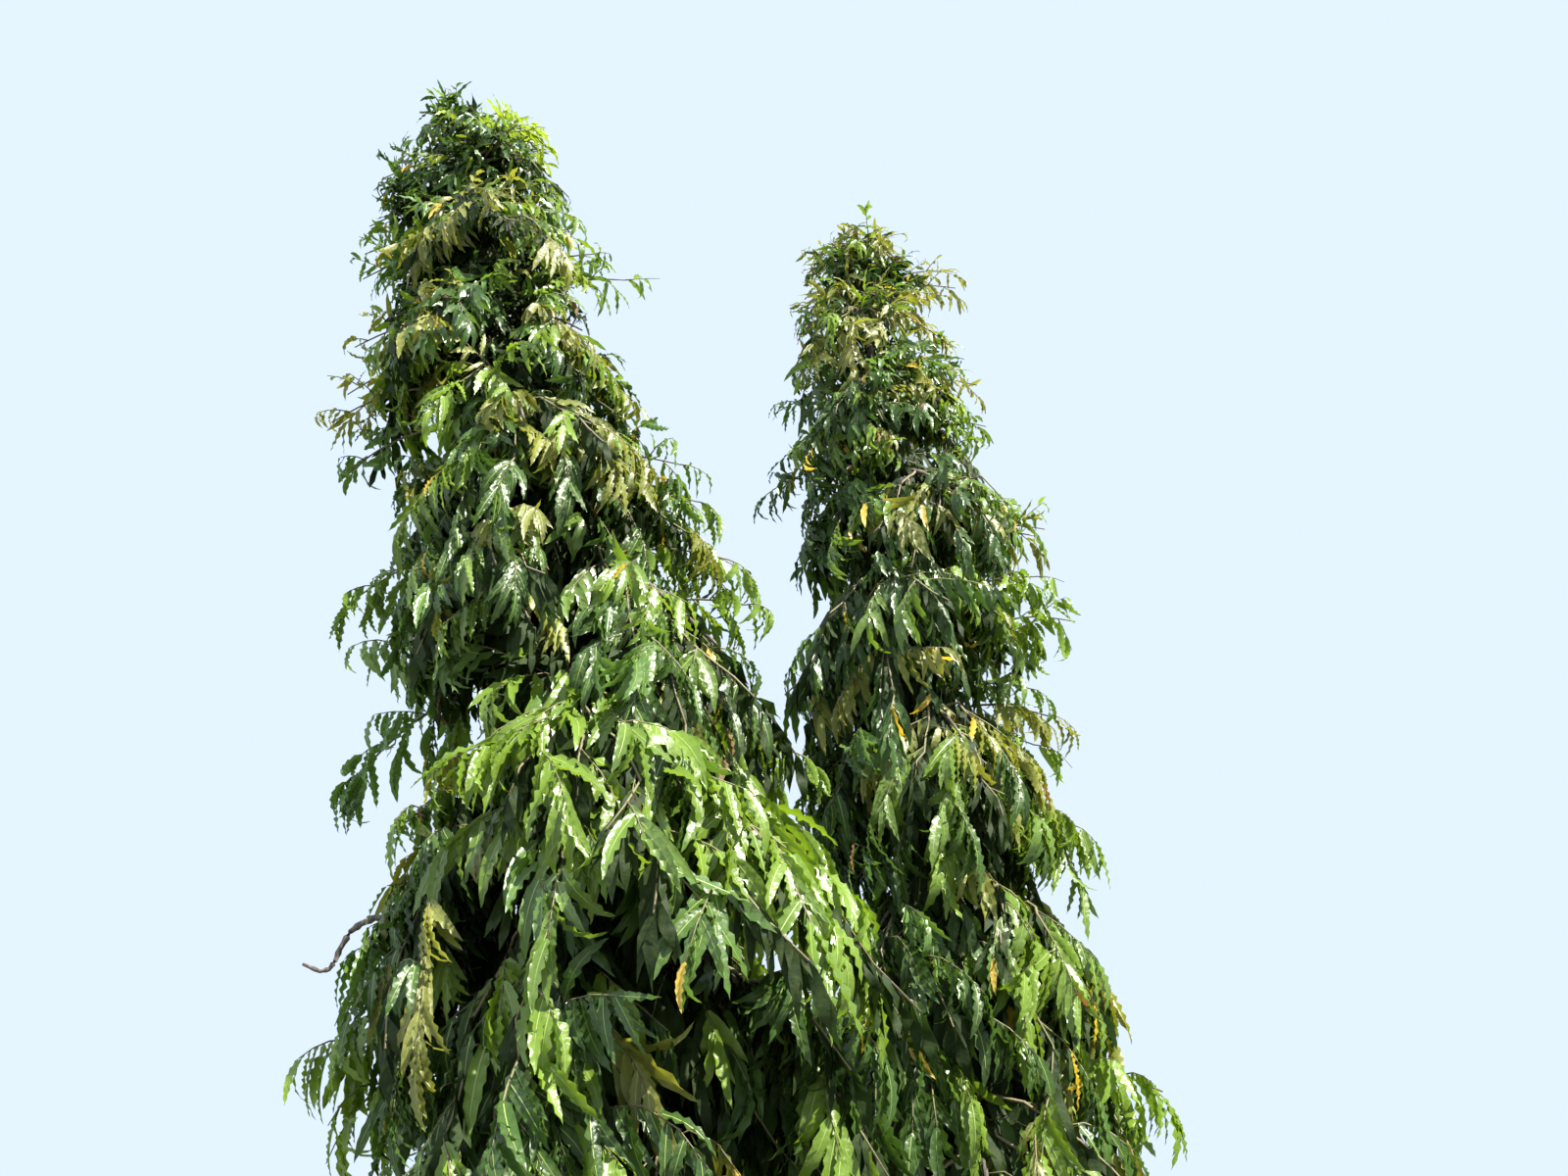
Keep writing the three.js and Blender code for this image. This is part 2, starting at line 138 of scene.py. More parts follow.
# How the foot of a tier draws back under its upper edge, and how much of it gets deep green as painted
# shade.
UNDERCUT = {"share": 0.14, "below": 0.5}
SHADED_FOOT = {"below": 0.4, "share": 0.55}

# A lobe that reaches further than this hangs on a bough of its own. The others hang on a thinner branch.
BOUGH_REACH = 0.63
BOUGH = {"share": 0.32, "thick": 0.036, "thin": 0.024, "level": 0.6, "end": 0.72, "stations": 12}
BRANCH_THICKNESS = 0.8

# Growth changes from the height of the tops downwards: twigs and leaves hang more and more over the first
# depth, and grow longer over the second.
GROWTH_TOP = 6.6
HANG_DEPTH = 2.6
LEAF_DEPTH = 3.4

# Branchlets. Shares are of a lobe's width, height or reach, and a pair is a least and a most. They are
# crowded near the tops and less so where leaves are long, each a turn further round than the one before.
# Most stand in the upper half, some stay inside the lobe, and some stray up or down. The span is that of
# the usual height.
BRANCHLET = {
    "points": 9, "fewest": 8, "crowded": 1.4, "less": 0.35, "turn": 0.618, "width": (-0.93, 0.93),
    "height": (0.05, 0.95), "middle": 0.5, "in_upper_half": 0.6, "out": 0.55, "further": 0.37,
    "length": (0.35, 0.6), "start": (0.06, 0.5), "arch": 0.06, "wander": 0.03, "crook": 0.009,
    "inside": 0.24, "inside_height": (0.0, 0.7), "inside_out": (0.22, 0.45), "straying": 0.35,
    "stray": (-0.3, 0.2), "bounds": (-0.25, 1.05), "span": 0.9,
}
# The branchlet that runs along the upper edge of a lobe and carries its bough on to its end.
EDGE_BRANCHLET = {
    "out": 0.28, "length": 0.6, "side": -0.1, "drift": 0.1, "bend": 0.05, "bends": 11, "height": 0.9,
}
# Branchlets of the tuft at the tip of a stem, which stand round the wood.
TIP_BRANCHLET = {
    "height": (0.1, 0.75), "start": 0.02, "out": 0.35, "further": 0.5, "below": 0.3, "base": (0.02, 0.7),
}

# Twigs on a branchlet, and the leaves on a twig. Angles are in degrees.
TWIG = {
    "each": 6, "points": 6, "first": 0.3, "apart": 0.13, "loose": 0.05, "angle": (28, 68),
    "outward": (-0.15, 0.5), "length": (0.62, 1.25), "short": 0.66, "longer": 0.34, "pull": (0.4, 2.2),
    "least_pull": 0.28,
}
LEAF = {
    "fewest": 4, "most": 40, "roll": 0.5, "angle": (35, 65), "pull": (-0.1, 0.7), "hang": (0.1, 1.25),
    "stray": 0.2, "tilt": 0.42, "size": (0.72, 1.12), "smaller_at_tip": 0.2, "short": 0.54, "longer": 0.5,
}
# Leaves nearer to the stem than this share of their lobe's reach have a coarse edge, as all have high up,
# and those nearer than the other share are simple and wear the near-black inner green, painted shade.
COARSE_WITHIN = 0.5
SIMPLE_WITHIN = 0.36

# How far out twigs may end against their lobe's reach: most of them a little short of it, the passing ones
# beyond it, and none as high as the tip of the stem.
TWIG_ENDS = {"most": (0.84, 0.98), "passing": 0.2, "furthest": 1.05, "below_tip": 0.12}

# Twigs that hang close round a stem and hide it. Their simple leaves wear the near-black inner green,
# painted shade.
CURTAIN = {
    "count": 190, "lowest": 2.5, "below_tip": 0.3, "points": 7, "from_wood": 0.03, "out": (0.05, 0.2),
    "drop": (0.2, 0.4), "reach": 0.5,
}

# Tufts that stand out of the crowns: how long their branchlet is, how large their twigs are against others,
# how far leaves may pass their tip, and above what height these are coarse. Then for each tuft the turn in
# degrees, the height and radius of its tip, how far it rises towards its tip, and its shade.
TUFT = {"length": 0.36, "twigs": 0.55, "beyond": 0.1, "coarse_above": 4.5, "arch": 0.04}
SPRIGS = {
    "near": (
        (0, 6.38, 0.34, -0.05, "fresh"), (-12, 6.3, 0.34, -0.05, "fresh"),
        (-20, 6.42, 0.3, -0.05, "fresh"), (-32, 6.24, 0.34, -0.05, "fresh"),
        (-35, 6.36, 0.3, -0.05, "fresh"), (-48, 6.18, 0.36, -0.05, "fresh"),
        (-55, 6.3, 0.27, -0.05, "bright"), (190, 6.86, 0.07, 0.3, "plain"),
        (200, 6.76, 0.1, 0.2, "bright"), (180, 6.3, 0.37, -0.1, "deep"),
        (180, 5.98, 0.44, -0.1, "plain"), (180, 5.8, 0.47, -0.05, "bright"),
        (180, 5.67, 0.5, -0.1, "bright"), (184, 5.6, 0.48, -0.15, "plain"),
        (180, 5.25, 0.54, -0.1, "olive"), (180, 5.0, 0.58, -0.15, "olive"),
        (190, 4.75, 0.62, -0.2, "olive"), (180, 4.6, 0.62, -0.2, "plain"),
        (180, 4.07, 0.61, -0.15, "mid"), (185, 3.83, 0.55, -0.1, "mid"),
        (180, 3.38, 0.69, -0.3, "plain"), (195, 3.2, 0.52, -0.2, "mid"),
        (178, 2.9, 0.66, -0.2, "plain"), (188, 2.62, 0.76, -0.2, "bright"),
        (184, 2.98, 0.6, -0.15, "plain"), (184, 3.08, 0.55, -0.15, "olive"),
        (0, 5.5, 0.5, 0.04, "mid"), (-10, 5.58, 0.41, 0.04, "mid"),
        (0, 4.52, 0.5, -0.05, "mid"), (0, 4.35, 0.52, -0.05, "bright"),
        (0, 4.1, 0.56, -0.05, "bright"), (0, 3.92, 0.57, 0.0, "bright"),
        (0, 3.6, 0.52, 0.0, "mid"), (10, 3.46, 0.6, 0.0, "bright"),
        (182, 2.54, 0.69, -0.2, "bright"),
    ),
    "far": (
        (180, 6.5, 0.21, -0.03, "olive"), (180, 6.4, 0.24, -0.05, "olive"),
        (180, 6.12, 0.3, -0.05, "olive"), (0, 6.56, 0.12, 0.0, "olive"),
        (0, 6.32, 0.43, 0.05, "olive"), (0, 6.2, 0.43, 0.0, "olive"),
        (0, 5.55, 0.43, -0.05, "olive"), (0, 5.3, 0.43, -0.05, "mid"),
        (0, 4.85, 0.5, -0.05, "bright"), (0, 4.69, 0.53, 0.0, "olive"),
        (0, 4.27, 0.6, 0.0, "bright"), (-30, 4.3, 0.5, -0.05, "bright"),
        (0, 3.46, 0.44, -0.03, "bright"), (0, 3.88, 0.43, -0.05, "olive"),
        (8, 3.8, 0.38, -0.05, "bright"), (0, 4.72, 0.57, 0.0, "bright"),
        (-10, 2.58, 0.54, -0.1, "bright"), (10, 2.62, 0.42, -0.1, "mid"),
        (180, 5.5, 0.42, -0.1, "plain"), (180, 5.05, 0.47, -0.1, "deep"),
        (180, 3.79, 0.4, -0.1, "deep"), (0, 4.22, 0.46, 0.0, "mid"),
        (0, 4.0, 0.38, 0.0, "mid"),
    ),
}

# A bare, dry twig that hooks out of the near crown: radius and height of its points, on one turn in degrees.
DRY_TWIG_TURN = 188
DRY_TWIG_RADIUS = (0.0085, 0.004)
DRY_TWIG = (
    (0.45, 2.98), (0.6, 2.985), (0.635, 2.97), (0.662, 2.95), (0.69, 2.905),
    (0.703, 2.875), (0.718, 2.855), (0.74, 2.85), (0.78, 2.87),
)

# How a leaf one unit long bends down, sways, twists and folds, and whether its two edges wave in turn. Each
# kind comes with a fine edge and, with a number further on, a coarse one. The last number is a simple leaf.
LEAF_KINDS = (
    (0.5, 0.02, 0.3, 0.3, True),
    (0.9, -0.04, -0.4, 0.2, False),
    (0.3, 0.05, 0.1, 0.45, True),
    (1.3, 0.0, 0.7, 0.25, False),
    (0.7, -0.06, -0.2, 0.35, True),
    (1.9, 0.05, -0.9, 0.15, True),
    (0.4, 0.03, 0.6, 0.1, False),
)
SIMPLE = 2 * len(LEAF_KINDS)
# The tier from which down leaves have a fine edge, and how many points a fine and a coarse edge has.
FINE_FROM_TIER = {"near": 4, "far": 5}
EDGE_STATIONS = {"fine": 11, "coarse": 7}

# A leaf's outline: the root of the distance from its stalk, times the distance from its tip to the power of
# the taper, which comes to the peak where the leaf is widest. The midrib's half widths run from the stalk
# to near the tip.
LEAF_TAPER = 0.85
OUTLINE_PEAK = 0.3975
RIB_HALF_WIDTHS = (0.0068, 0.006, 0.005, 0.004, 0.0022)
RIB_LIFT = 0.004

# The chance that a spray has each shade, by the side of the crown that it hangs on or by its lobe's habit.
# Sides that face the key sun and the front bough get more bright green as painted sunlight; the left sides,
# the shaded top and the sprays under the front bough get more deep green as painted shade. No spray is
# golden or brown as a whole.
SHADES = ("deep", "mid", "plain", "bright", "olive", "fresh", "golden", "brown")
SHADE_CHANCES = {
    "near_left": (0.24, 0.28, 0.18, 0.15, 0.14, 0.01),
    "near_front": (0.16, 0.33, 0.2, 0.24, 0.06, 0.01),
    "near_right": (0.14, 0.28, 0.15, 0.39, 0.03, 0.01),
    "far_left": (0.56, 0.16, 0.2, 0.04, 0.04, 0.0),
    "far_front": (0.32, 0.2, 0.14, 0.14, 0.19, 0.01),
    "far_right": (0.14, 0.22, 0.1, 0.24, 0.29, 0.01),
    "shaded_top": (0.74, 0.06, 0.2, 0.0, 0.0, 0.0),
    "lime_tuft": (0.4, 0.08, 0.14, 0.12, 0.0, 0.26),
    "olive_tier": (0.14, 0.14, 0.08, 0.21, 0.42, 0.01),
    "front_bough": (0.06, 0.32, 0.15, 0.46, 0.0, 0.01),
    "under_bough": (0.56, 0.04, 0.04, 0.32, 0.04, 0.0),
}
# The share of twigs that keep their branchlet's shade, and the share of leaves that turn gold or brown.
SAME_SHADE = 0.6
DYING_LEAVES = {"near": 0.016, "far": 0.034}
DYING_SHADES = tuple(SHADES.index(shade) for shade in ("golden", "golden", "brown"))
DYING_SIZE = 0.8
SLOT_OF_SHADE = {shade: "leaf_" + shade for shade in ("deep", "mid", "plain", "bright", "fresh")}

# How dull the leaves of a shade are, how much of the light their gloss throws back, and what comes through.
DULLNESS = {"golden": 0.45, "brown": 0.7, "olive": 0.44, "inner": 0.6}
USUAL_DULLNESS = 0.3
GLOSS = {"inner": 0.2, "deep": 0.4, "bright": 0.5, "fresh": 0.5}
USUAL_GLOSS = 0.62
LIGHT_THROUGH_LEAF = {"share": 0.3, "colour": (2.1, 2.0, 0.9)}
# Finishes whose colour only drifts: how fine and how strong the drift is, and how dull the surface.
DRIFTING = {"midrib": (9.0, 0.25, 0.42), "floor": (0.8, 0.03, 0.9)}

# The camera of the photograph: where it stands, how far it tilts up and leans over, and its lens.
CAMERA = {"place": (0.05, -3.4, 1.6), "pitch": 38, "roll": 5, "focal_px": 1290}
FRAME_WIDTH_PX = 1600
SENSOR_WIDTH = 36

# The sky's colour and strength, and each sun's turn in degrees, strength, width in degrees and colour.
SKY = {"colour": (0.68, 0.8, 0.97, 1), "strength": 1.15}
SUNS = {
    "key_light": ((45, 0, 50), 14.8, 0.8, (1.0, 0.96, 0.88)),
    "fill_light": ((62, 0, -50), 1.0, 60, (0.85, 0.92, 1.0)),
}
FLOOR_SIZE = 60


def length_property(name, description, default):
    return FloatProperty(name=name, description=description, default=default, unit="LENGTH")


class Sizes(bpy.types.PropertyGroup):
    """The sizes of the small growth and of the bark"""

    leaf_length: length_property("Leaf length", "Length of a full-grown leaf", 0.2)
    leaf_width: length_property("Leaf width", "Width of a full-grown leaf", 0.034)
    leaf_spacing: length_property("Leaf spacing", "Gap between leaves along a twig", 0.022)
    leaf_wave: length_property("Leaf wave", "How far the leaf's edge waves out of its face", 0.006)
    twig_radius: length_property("Twig radius", "Radius of a twig where it leaves its branch", 0.0036)
    twig_length: length_property("Twig length", "Length of a twig that bears leaves", 0.27)
    branchlets: FloatProperty(
        name="Branchlets", description="Branchlets for each square metre of a lobe's face", default=12.0
    )
    bark_relief: length_property("Bark relief", "Depth of the ridges in the bark", 0.0022)
    seed: IntProperty(name="Seed", description="Changes where each twig and leaf grows", default=8)


def colour_property(name, description, default):
    return FloatVectorProperty(
        name=name, description=description, default=default, size=3, min=0, max=1, subtype="COLOR"
    )


class Colours(bpy.types.PropertyGroup):
    """The colours of leaves and bark"""

    # Inner green is darkened almost to black as painted shade of the crown's inside. Every simple leaf wears
    # it.
    inner: colour_property("Inner green", "Old leaves deep inside the crown", (0.013, 0.028, 0.007))
    # Deep green is the leaf green darkened as painted shade, dealt to sprays where shade falls.
    deep: colour_property("Deep green", "Leaves in the shaded sprays", (0.037, 0.08, 0.017))
    mid: colour_property("Mid green", "Most full-grown leaves", (0.1, 0.172, 0.025))
    plain: colour_property("Plain green", "Full-grown leaves with a little more blue", (0.075, 0.148, 0.03))
    # Bright green is the leaf green lightened as painted sunlight, dealt most to sprays on the sunlit sides.
    bright: colour_property("Bright green", "Younger leaves", (0.128, 0.212, 0.022))
    olive: colour_property("Olive", "Old, dull leaves", (0.165, 0.178, 0.03))
    fresh: colour_property("Lime", "Leaves that have just opened", (0.21, 0.29, 0.03))
    golden: colour_property("Gold", "Leaves about to fall", (0.46, 0.32, 0.035))
    brown: colour_property("Brown", "Dead leaves that still hang", (0.17, 0.085, 0.035))
    midrib: colour_property("Midrib", "The rib along each leaf", (0.2, 0.27, 0.06))
    twig: colour_property("Twig", "Young, thin wood", (0.15, 0.115, 0.07))
    # Bark is its own grey-brown, darkened further as painted shade of the trunk and stems.
    bark: colour_property("Bark", "Old wood", (0.12, 0.1, 0.08))
    crack: colour_property("Bark crack", "The cracks in the bark", (0.05, 0.04, 0.03))
    floor: colour_property("Floor", "The pale floor", (0.2, 0.205, 0.2))


def stem_centre(stem, z):
    """The middle of a stem at each height."""
    z = np.asarray(z, float)
    above = z - FORK_HEIGHT
    out = 1 - np.exp(-np.maximum(above, 0) / stem["bow"])
    foot = stem["side"] * stem["foot"]
    x = foot * FORK_DIRECTION.x + stem["spread"][0] * out + stem["lean"][0] * above
    y = foot * FORK_DIRECTION.y + stem["spread"][1] * out + stem["lean"][1] * above
    return np.stack([x, y, z], -1)


def stem_radius(stem, z):
    """The radius of a stem, which tapers evenly from the fork to the foot of its highest lobe."""
    share = np.clip((z - FORK_HEIGHT) / (tier_top(stem, 1) - FORK_HEIGHT), 0, 1)
    return STEM_RADIUS["foot"] + (STEM_RADIUS["tip"] - STEM_RADIUS["foot"]) * share


def droop(r):
    """How far foliage sinks at radius r below where its bough left the wood."""
    bent = np.minimum(r, DROOP["straight"])
    slope = DROOP["slope"] + 2 * DROOP["arch"] * bent
    return DROOP["slope"] * bent + DROOP["arch"] * bent * bent + slope * (r - bent)


def tier_top(stem, tier):
    if tier == 0:
        return stem["tip"]
    return stem["top"] - tier * TIER_THICKNESS["first"] - TIER_THICKNESS["more"] * tier * (tier - 1) / 2


def tier_reach(stem, level):
    return stem["reach_at_metre"] * max(stem["top"] - level, 0) ** stem["swell"]


def beside_stem(stem, z, turn, r):
    """Points at height z and at radius r from the middle of the stem, on one turn or on one turn each."""
    p = stem_centre(stem, z)
    p[..., 0] += r * np.cos(turn)
    p[..., 1] += r * np.sin(turn)
    return p


def place(stem, level, turn, r):
    """Points of the crown from level, turn and radius. level is where their bough left the wood."""
    return beside_stem(stem, level - droop(r), turn, r)


def place_of(stem, p):
    """Level, turn and radius of points, seen from a stem."""
    d = p - stem_centre(stem, p[..., 2])
    r = np.hypot(d[..., 0], d[..., 1])
    return p[..., 2] + droop(r), np.arctan2(d[..., 1], d[..., 0]), r


def room_towards(stem, other, z, turn):
    """How far a lobe may reach before it meets the other stem's crown."""
    here, there = stem_centre(stem, z), stem_centre(other, z)
    facing = math.cos(turn - math.atan2(there[1] - here[1], there[0] - here[0]))
    apart = math.hypot(there[0] - here[0], there[1] - here[1])
    return apart / (2 * facing) if facing > 0.05 else math.inf


def habit(lobe, what, usual):
    """What is particular to a lobe, or else the usual value."""
    return HABITS.get(lobe["name"], {}).get(what, usual)


def lobes_of(key):
    """The lobes of a stem's crown, each with the bounds of its own space, as the solids have them."""
    stem, other = STEMS[key], STEMS["far" if key == "near" else "near"]
    away = math.atan2(stem["side"] * FORK_DIRECTION.y, stem["side"] * FORK_DIRECTION.x)
    lobes = []
    for tier, reaches in enumerate(REACHES[key]):
        count = len(reaches)
        high, low = tier_top(stem, tier), tier_top(stem, tier + 1)
        for i, share in enumerate(reaches):
            turn = math.radians(stem["first_turn"] + tier * stem["tier_turn"] + 360 * i / count)
            half = math.radians(180 / count)
            if tier == len(REACHES[key]) - 1:
                turn = away + math.radians(LOWEST_TIER["apart"] * (2 * i - 1))
                half = math.radians(LOWEST_TIER["half"])
            wanted = tier_reach(stem, 0.35 * high + 0.65 * low) * share
            room = room_towards(stem, other, 0.5 * (high + low) - droop(0.7 * wanted), turn)
            lobes.append({
                "name": f"{key}_{tier}_{i}", "node": f"{key}_foliage_{tier}_{i}", "stem": stem, "tier": tier,
                "high": high, "low": low, "turn": turn, "half": half, "reach": min(wanted, 0.97 * room),
                "whole": count == 1,
            })
    return lobes


LOBES = {key: lobes_of(key) for key in STEMS}


def in_shares(lobe, out, side, up):
    """Points of a lobe from shares: out to its reach, side from -1 to 1, up from its lower bound."""
    level = lobe["low"] + (lobe["high"] - lobe["low"]) * up
    return place(lobe["stem"], level, lobe["turn"] + side * lobe["half"], out * lobe["reach"])


def side_of(lobe):
    """Whether a lobe hangs to the left, to the right or in front, as the photograph shows the crown."""
    across = math.cos(lobe["turn"])
    if abs(across) < 0.45:
        return "front"
    return "right" if across > 0 else "left"


def has_bough(lobe):
    return not lobe["whole"] and lobe["reach"] > BOUGH_REACH


def bough_line(lobe, r):
    """The line that a lobe hangs on, at radius r from the middle of the stem."""
    level = lobe["low"] + (lobe["high"] - lobe["low"]) * BOUGH["level"]
    return place(lobe["stem"], level, lobe["turn"], np.asarray(r, float))


def bough_radius(lobe, r):
    """The radius of a bough as in the solids, but drawn out to a thin end inside the lobe."""
    share = np.minimum(r / (BOUGH["share"] * lobe["reach"]), 1)
    thick = lobe["reach"] * (BOUGH["thick"] + (BOUGH["thin"] - BOUGH["thick"]) * share)
    return np.maximum(thick * (1.12 - 0.85 * np.clip(r / (0.8 * lobe["reach"]), 0, 1)), 0.003)


def hang_at(z):
    """From 0 near the tops, where twigs and leaves spread out, to 1 low down, where they hang."""
    return np.clip((GROWTH_TOP - z) / HANG_DEPTH, 0, 1)


def leaf_growth(z):
    """From 0 near the tops, where leaves are shortest, to 1 low down, where they are longest."""
    return np.clip((GROWTH_TOP - z) / LEAF_DEPTH, 0, 1) ** 1.15


def unit(v):
    return v / np.maximum(np.linalg.norm(v, axis=-1, keepdims=True), 1e-9)


def within_box(points):
    """Which points lie in the box of the solids, or little outside it."""
    low, high = np.array(CAD_BOX[0]) - MARGIN, np.array(CAD_BOX[1]) + MARGIN
    return ((points > low) & (points < high)).all(-1)


def under_top(stem, points):
    """Which points lie below the top of a crown, which falls away to the right."""
    right = np.maximum(points[..., 0] - stem_centre(stem, points[..., 2])[..., 0], 0)
    return points[..., 2] < stem["tip"] - stem["crest"] - stem["shoulder"] * right


def lobe_branchlets(lobe, sizes, rng):
    """The thin branches of a lobe, which fan out from its bough and arch over to its face."""
    b = BRANCHLET
    thickness = lobe["high"] - lobe["low"]
    face = 2 * lobe["half"] * 0.8 * lobe["reach"] * (thickness + 0.6 * lobe["reach"])
    crowded = b["crowded"] - b["less"] * leaf_growth(lobe["low"])
    count = max(b["fewest"], round(sizes.branchlets * face * crowded))
    t = np.linspace(0, 1, b["points"])
    left, right = habit(lobe, "width", b["width"])
    side = left + (right - left) * ((np.arange(count) * b["turn"] + rng.random()) % 1)
    bottom, top = b["height"]
    in_upper_half = rng.random(count) < b["in_upper_half"]
    upper, lower = rng.uniform(b["middle"], top, count), rng.uniform(bottom, b["middle"], count)
    up = np.where(in_upper_half, upper, lower)
    out = b["out"] + b["further"] * rng.random(count) ** 0.7
    inside = rng.random(count) < b["inside"]
    lowest, highest = habit(lobe, "height", b["height"])
    up = lowest + (highest - lowest) * (up - bottom) / b["span"]
    up = np.where(inside, rng.uniform(*b["inside_height"], count), up)
    out *= 1 - UNDERCUT["share"] * np.clip(1 - up / UNDERCUT["below"], 0, 1)
    out = np.where(inside, rng.uniform(*b["inside_out"], count), out)
    start = np.clip(out - rng.uniform(*b["length"], count), *b["start"])
    base_up = np.full(count, BOUGH["level"])
    if lobe["whole"]:
        start[:] = TIP_BRANCHLET["start"]
        up = rng.uniform(*TIP_BRANCHLET["height"], count)
        spread = TIP_BRANCHLET["out"] + TIP_BRANCHLET["further"] * rng.random(count)
        out = spread * np.sqrt(1.1 - up**2)
        base_up = np.clip(up - TIP_BRANCHLET["below"], *TIP_BRANCHLET["base"])
    outs = start[:, None] + (out - start)[:, None] * t
    sides = side[:, None] * (t**0.8 if not lobe["whole"] else 1)
    stray = np.where(rng.random(count) < b["straying"], rng.uniform(*b["stray"], count), 0)
    ups = base_up[:, None] + (up + stray - base_up)[:, None] * t + b["arch"] * np.sin(np.pi * t)
    if has_bough(lobe):
        edge = EDGE_BRANCHLET
        outs[0] = edge["out"] + edge["length"] * t
        sides[0] = edge["side"] - edge["drift"] * t + edge["bend"] * np.sin(edge["bends"] * t)
        ups[0] = edge["height"] * highest
    wander = rng.normal(0, b["wander"], (count, 2, 1)) * np.sin(2 * np.pi * t)
    heights = np.clip(ups + wander[:, 1], *b["bounds"])
    paths = in_shares(lobe, outs, sides + wander[:, 0], heights)
    paths[:, 1:-1] += rng.normal(0, b["crook"], (count, b["points"] - 2, 3))
    return paths[(within_box(paths) & under_top(lobe["stem"], paths)).all(1)]


def frames_on(paths, path, t, stem):
    """Places at share t along the chosen paths, with the way along, the way out of the crown and across."""
    at = np.minimum(t, 0.9999) * (paths.shape[1] - 1)
    k = at.astype(int)
    here, after = paths[path, k], paths[path, k + 1]
    root = here + (after - here) * (at - k)[:, None]
    along = unit(after - here)
    turn = place_of(stem, root)[1]
    outward = np.stack([0.8 * np.cos(turn), 0.8 * np.sin(turn), 0 * turn + 0.6], -1)
    face = unit(outward - (outward * along).sum(1, keepdims=True) * along)
    return root, along, face, np.cross(face, along)


def twigs_on(paths, limp, sizes, rng, stem):
    """Twigs on both sides of each branchlet and one at its end. They set off outwards, then hang down."""
    each = TWIG["each"]
    path = np.repeat(np.arange(len(paths)), each)
    nth = np.tile(np.arange(each), len(paths))
    last = nth == each - 1
    loose = rng.uniform(-TWIG["loose"], TWIG["loose"], len(path))
    t = np.where(last, 1.0, TWIG["first"] + TWIG["apart"] * nth + loose)
    root, along, face, across = frames_on(paths, path, t, stem)
    angle = np.radians(rng.uniform(*TWIG["angle"], len(path))) * np.where(nth % 2 == 0, 1, -1)
    angle[last] *= 0.2
    heading = np.cos(angle)[:, None] * along + np.sin(angle)[:, None] * across
    heading = unit(heading + rng.uniform(*TWIG["outward"], len(path))[:, None] * face)
    hang = hang_at(root[:, 2])
    length = sizes.twig_length * rng.uniform(*TWIG["length"], len(path))
    length = length * (TWIG["short"] + TWIG["longer"] * hang)
    least = TWIG["least_pull"]
    pull = rng.uniform(*TWIG["pull"], len(path)) * (least + (1 - least) * limp * hang**2)
    steps = np.linspace(0, 1, TWIG["points"])[None, :, None]
    headings = unit(heading[:, None] + pull[:, None, None] * steps * DOWN)
    run = np.cumsum(headings * (length / TWIG["points"])[:, None, None], axis=1)
    return np.concatenate([root[:, None], root[:, None] + run], axis=1), path


def leaves_on(paths, shade, first, spacing, limp, rng, stem):
    """Simple leaves in two ranks along each path from share first on, and one at its end."""
    length = np.linalg.norm(np.diff(paths, axis=1), axis=2).sum(1) * (1 - first)
    count = np.clip(np.round(length / spacing), LEAF["fewest"], LEAF["most"]).astype(int)
    path = np.repeat(np.arange(len(paths)), count)
    nth = np.arange(len(path)) - np.repeat(np.cumsum(count) - count, count)
    last = nth == count[path] - 1
    t = first + (1 - first) * nth / (count[path] - 1)
    root, stalk, face, across = frames_on(paths, path, t, stem)
    rolled = rng.normal(0, LEAF["roll"], len(paths))[path][:, None]
    across, face = unit(across + rolled * face), unit(face - rolled * across)
    angle = np.radians(rng.uniform(*LEAF["angle"], len(path))) * (1 - 0.5 * t)
    angle = angle * np.where(nth % 2 == 0, 1, -1)
    angle[last] *= 0.1
    hang = hang_at(root[:, 2])
    least, more = LEAF["hang"]
    pull = (rng.uniform(*LEAF["pull"], len(path)) + (least + more * hang**2 * limp))[:, None]
    along = np.cos(angle)[:, None] * stalk + np.sin(angle)[:, None] * across
    stray = rng.normal(0, LEAF["stray"], stalk.shape) * (2 - hang[:, None])
    along = unit(along + pull * DOWN + stray)
    face = face + rng.normal(0, LEAF["tilt"], face.shape)
    face = unit(face - (face * along).sum(1, keepdims=True) * along)
    size = rng.uniform(*LEAF["size"], len(path)) * (1 - LEAF["smaller_at_tip"] * t**3)
    size = size * (LEAF["short"] + LEAF["longer"] * leaf_growth(root[:, 2]))
    return {
        "root": root, "along": along, "face": face, "size": size, "shade": shade[path], "path": path,
        "kind": np.full(len(path), SIMPLE), "tuft": np.zeros(len(path), bool),
    }


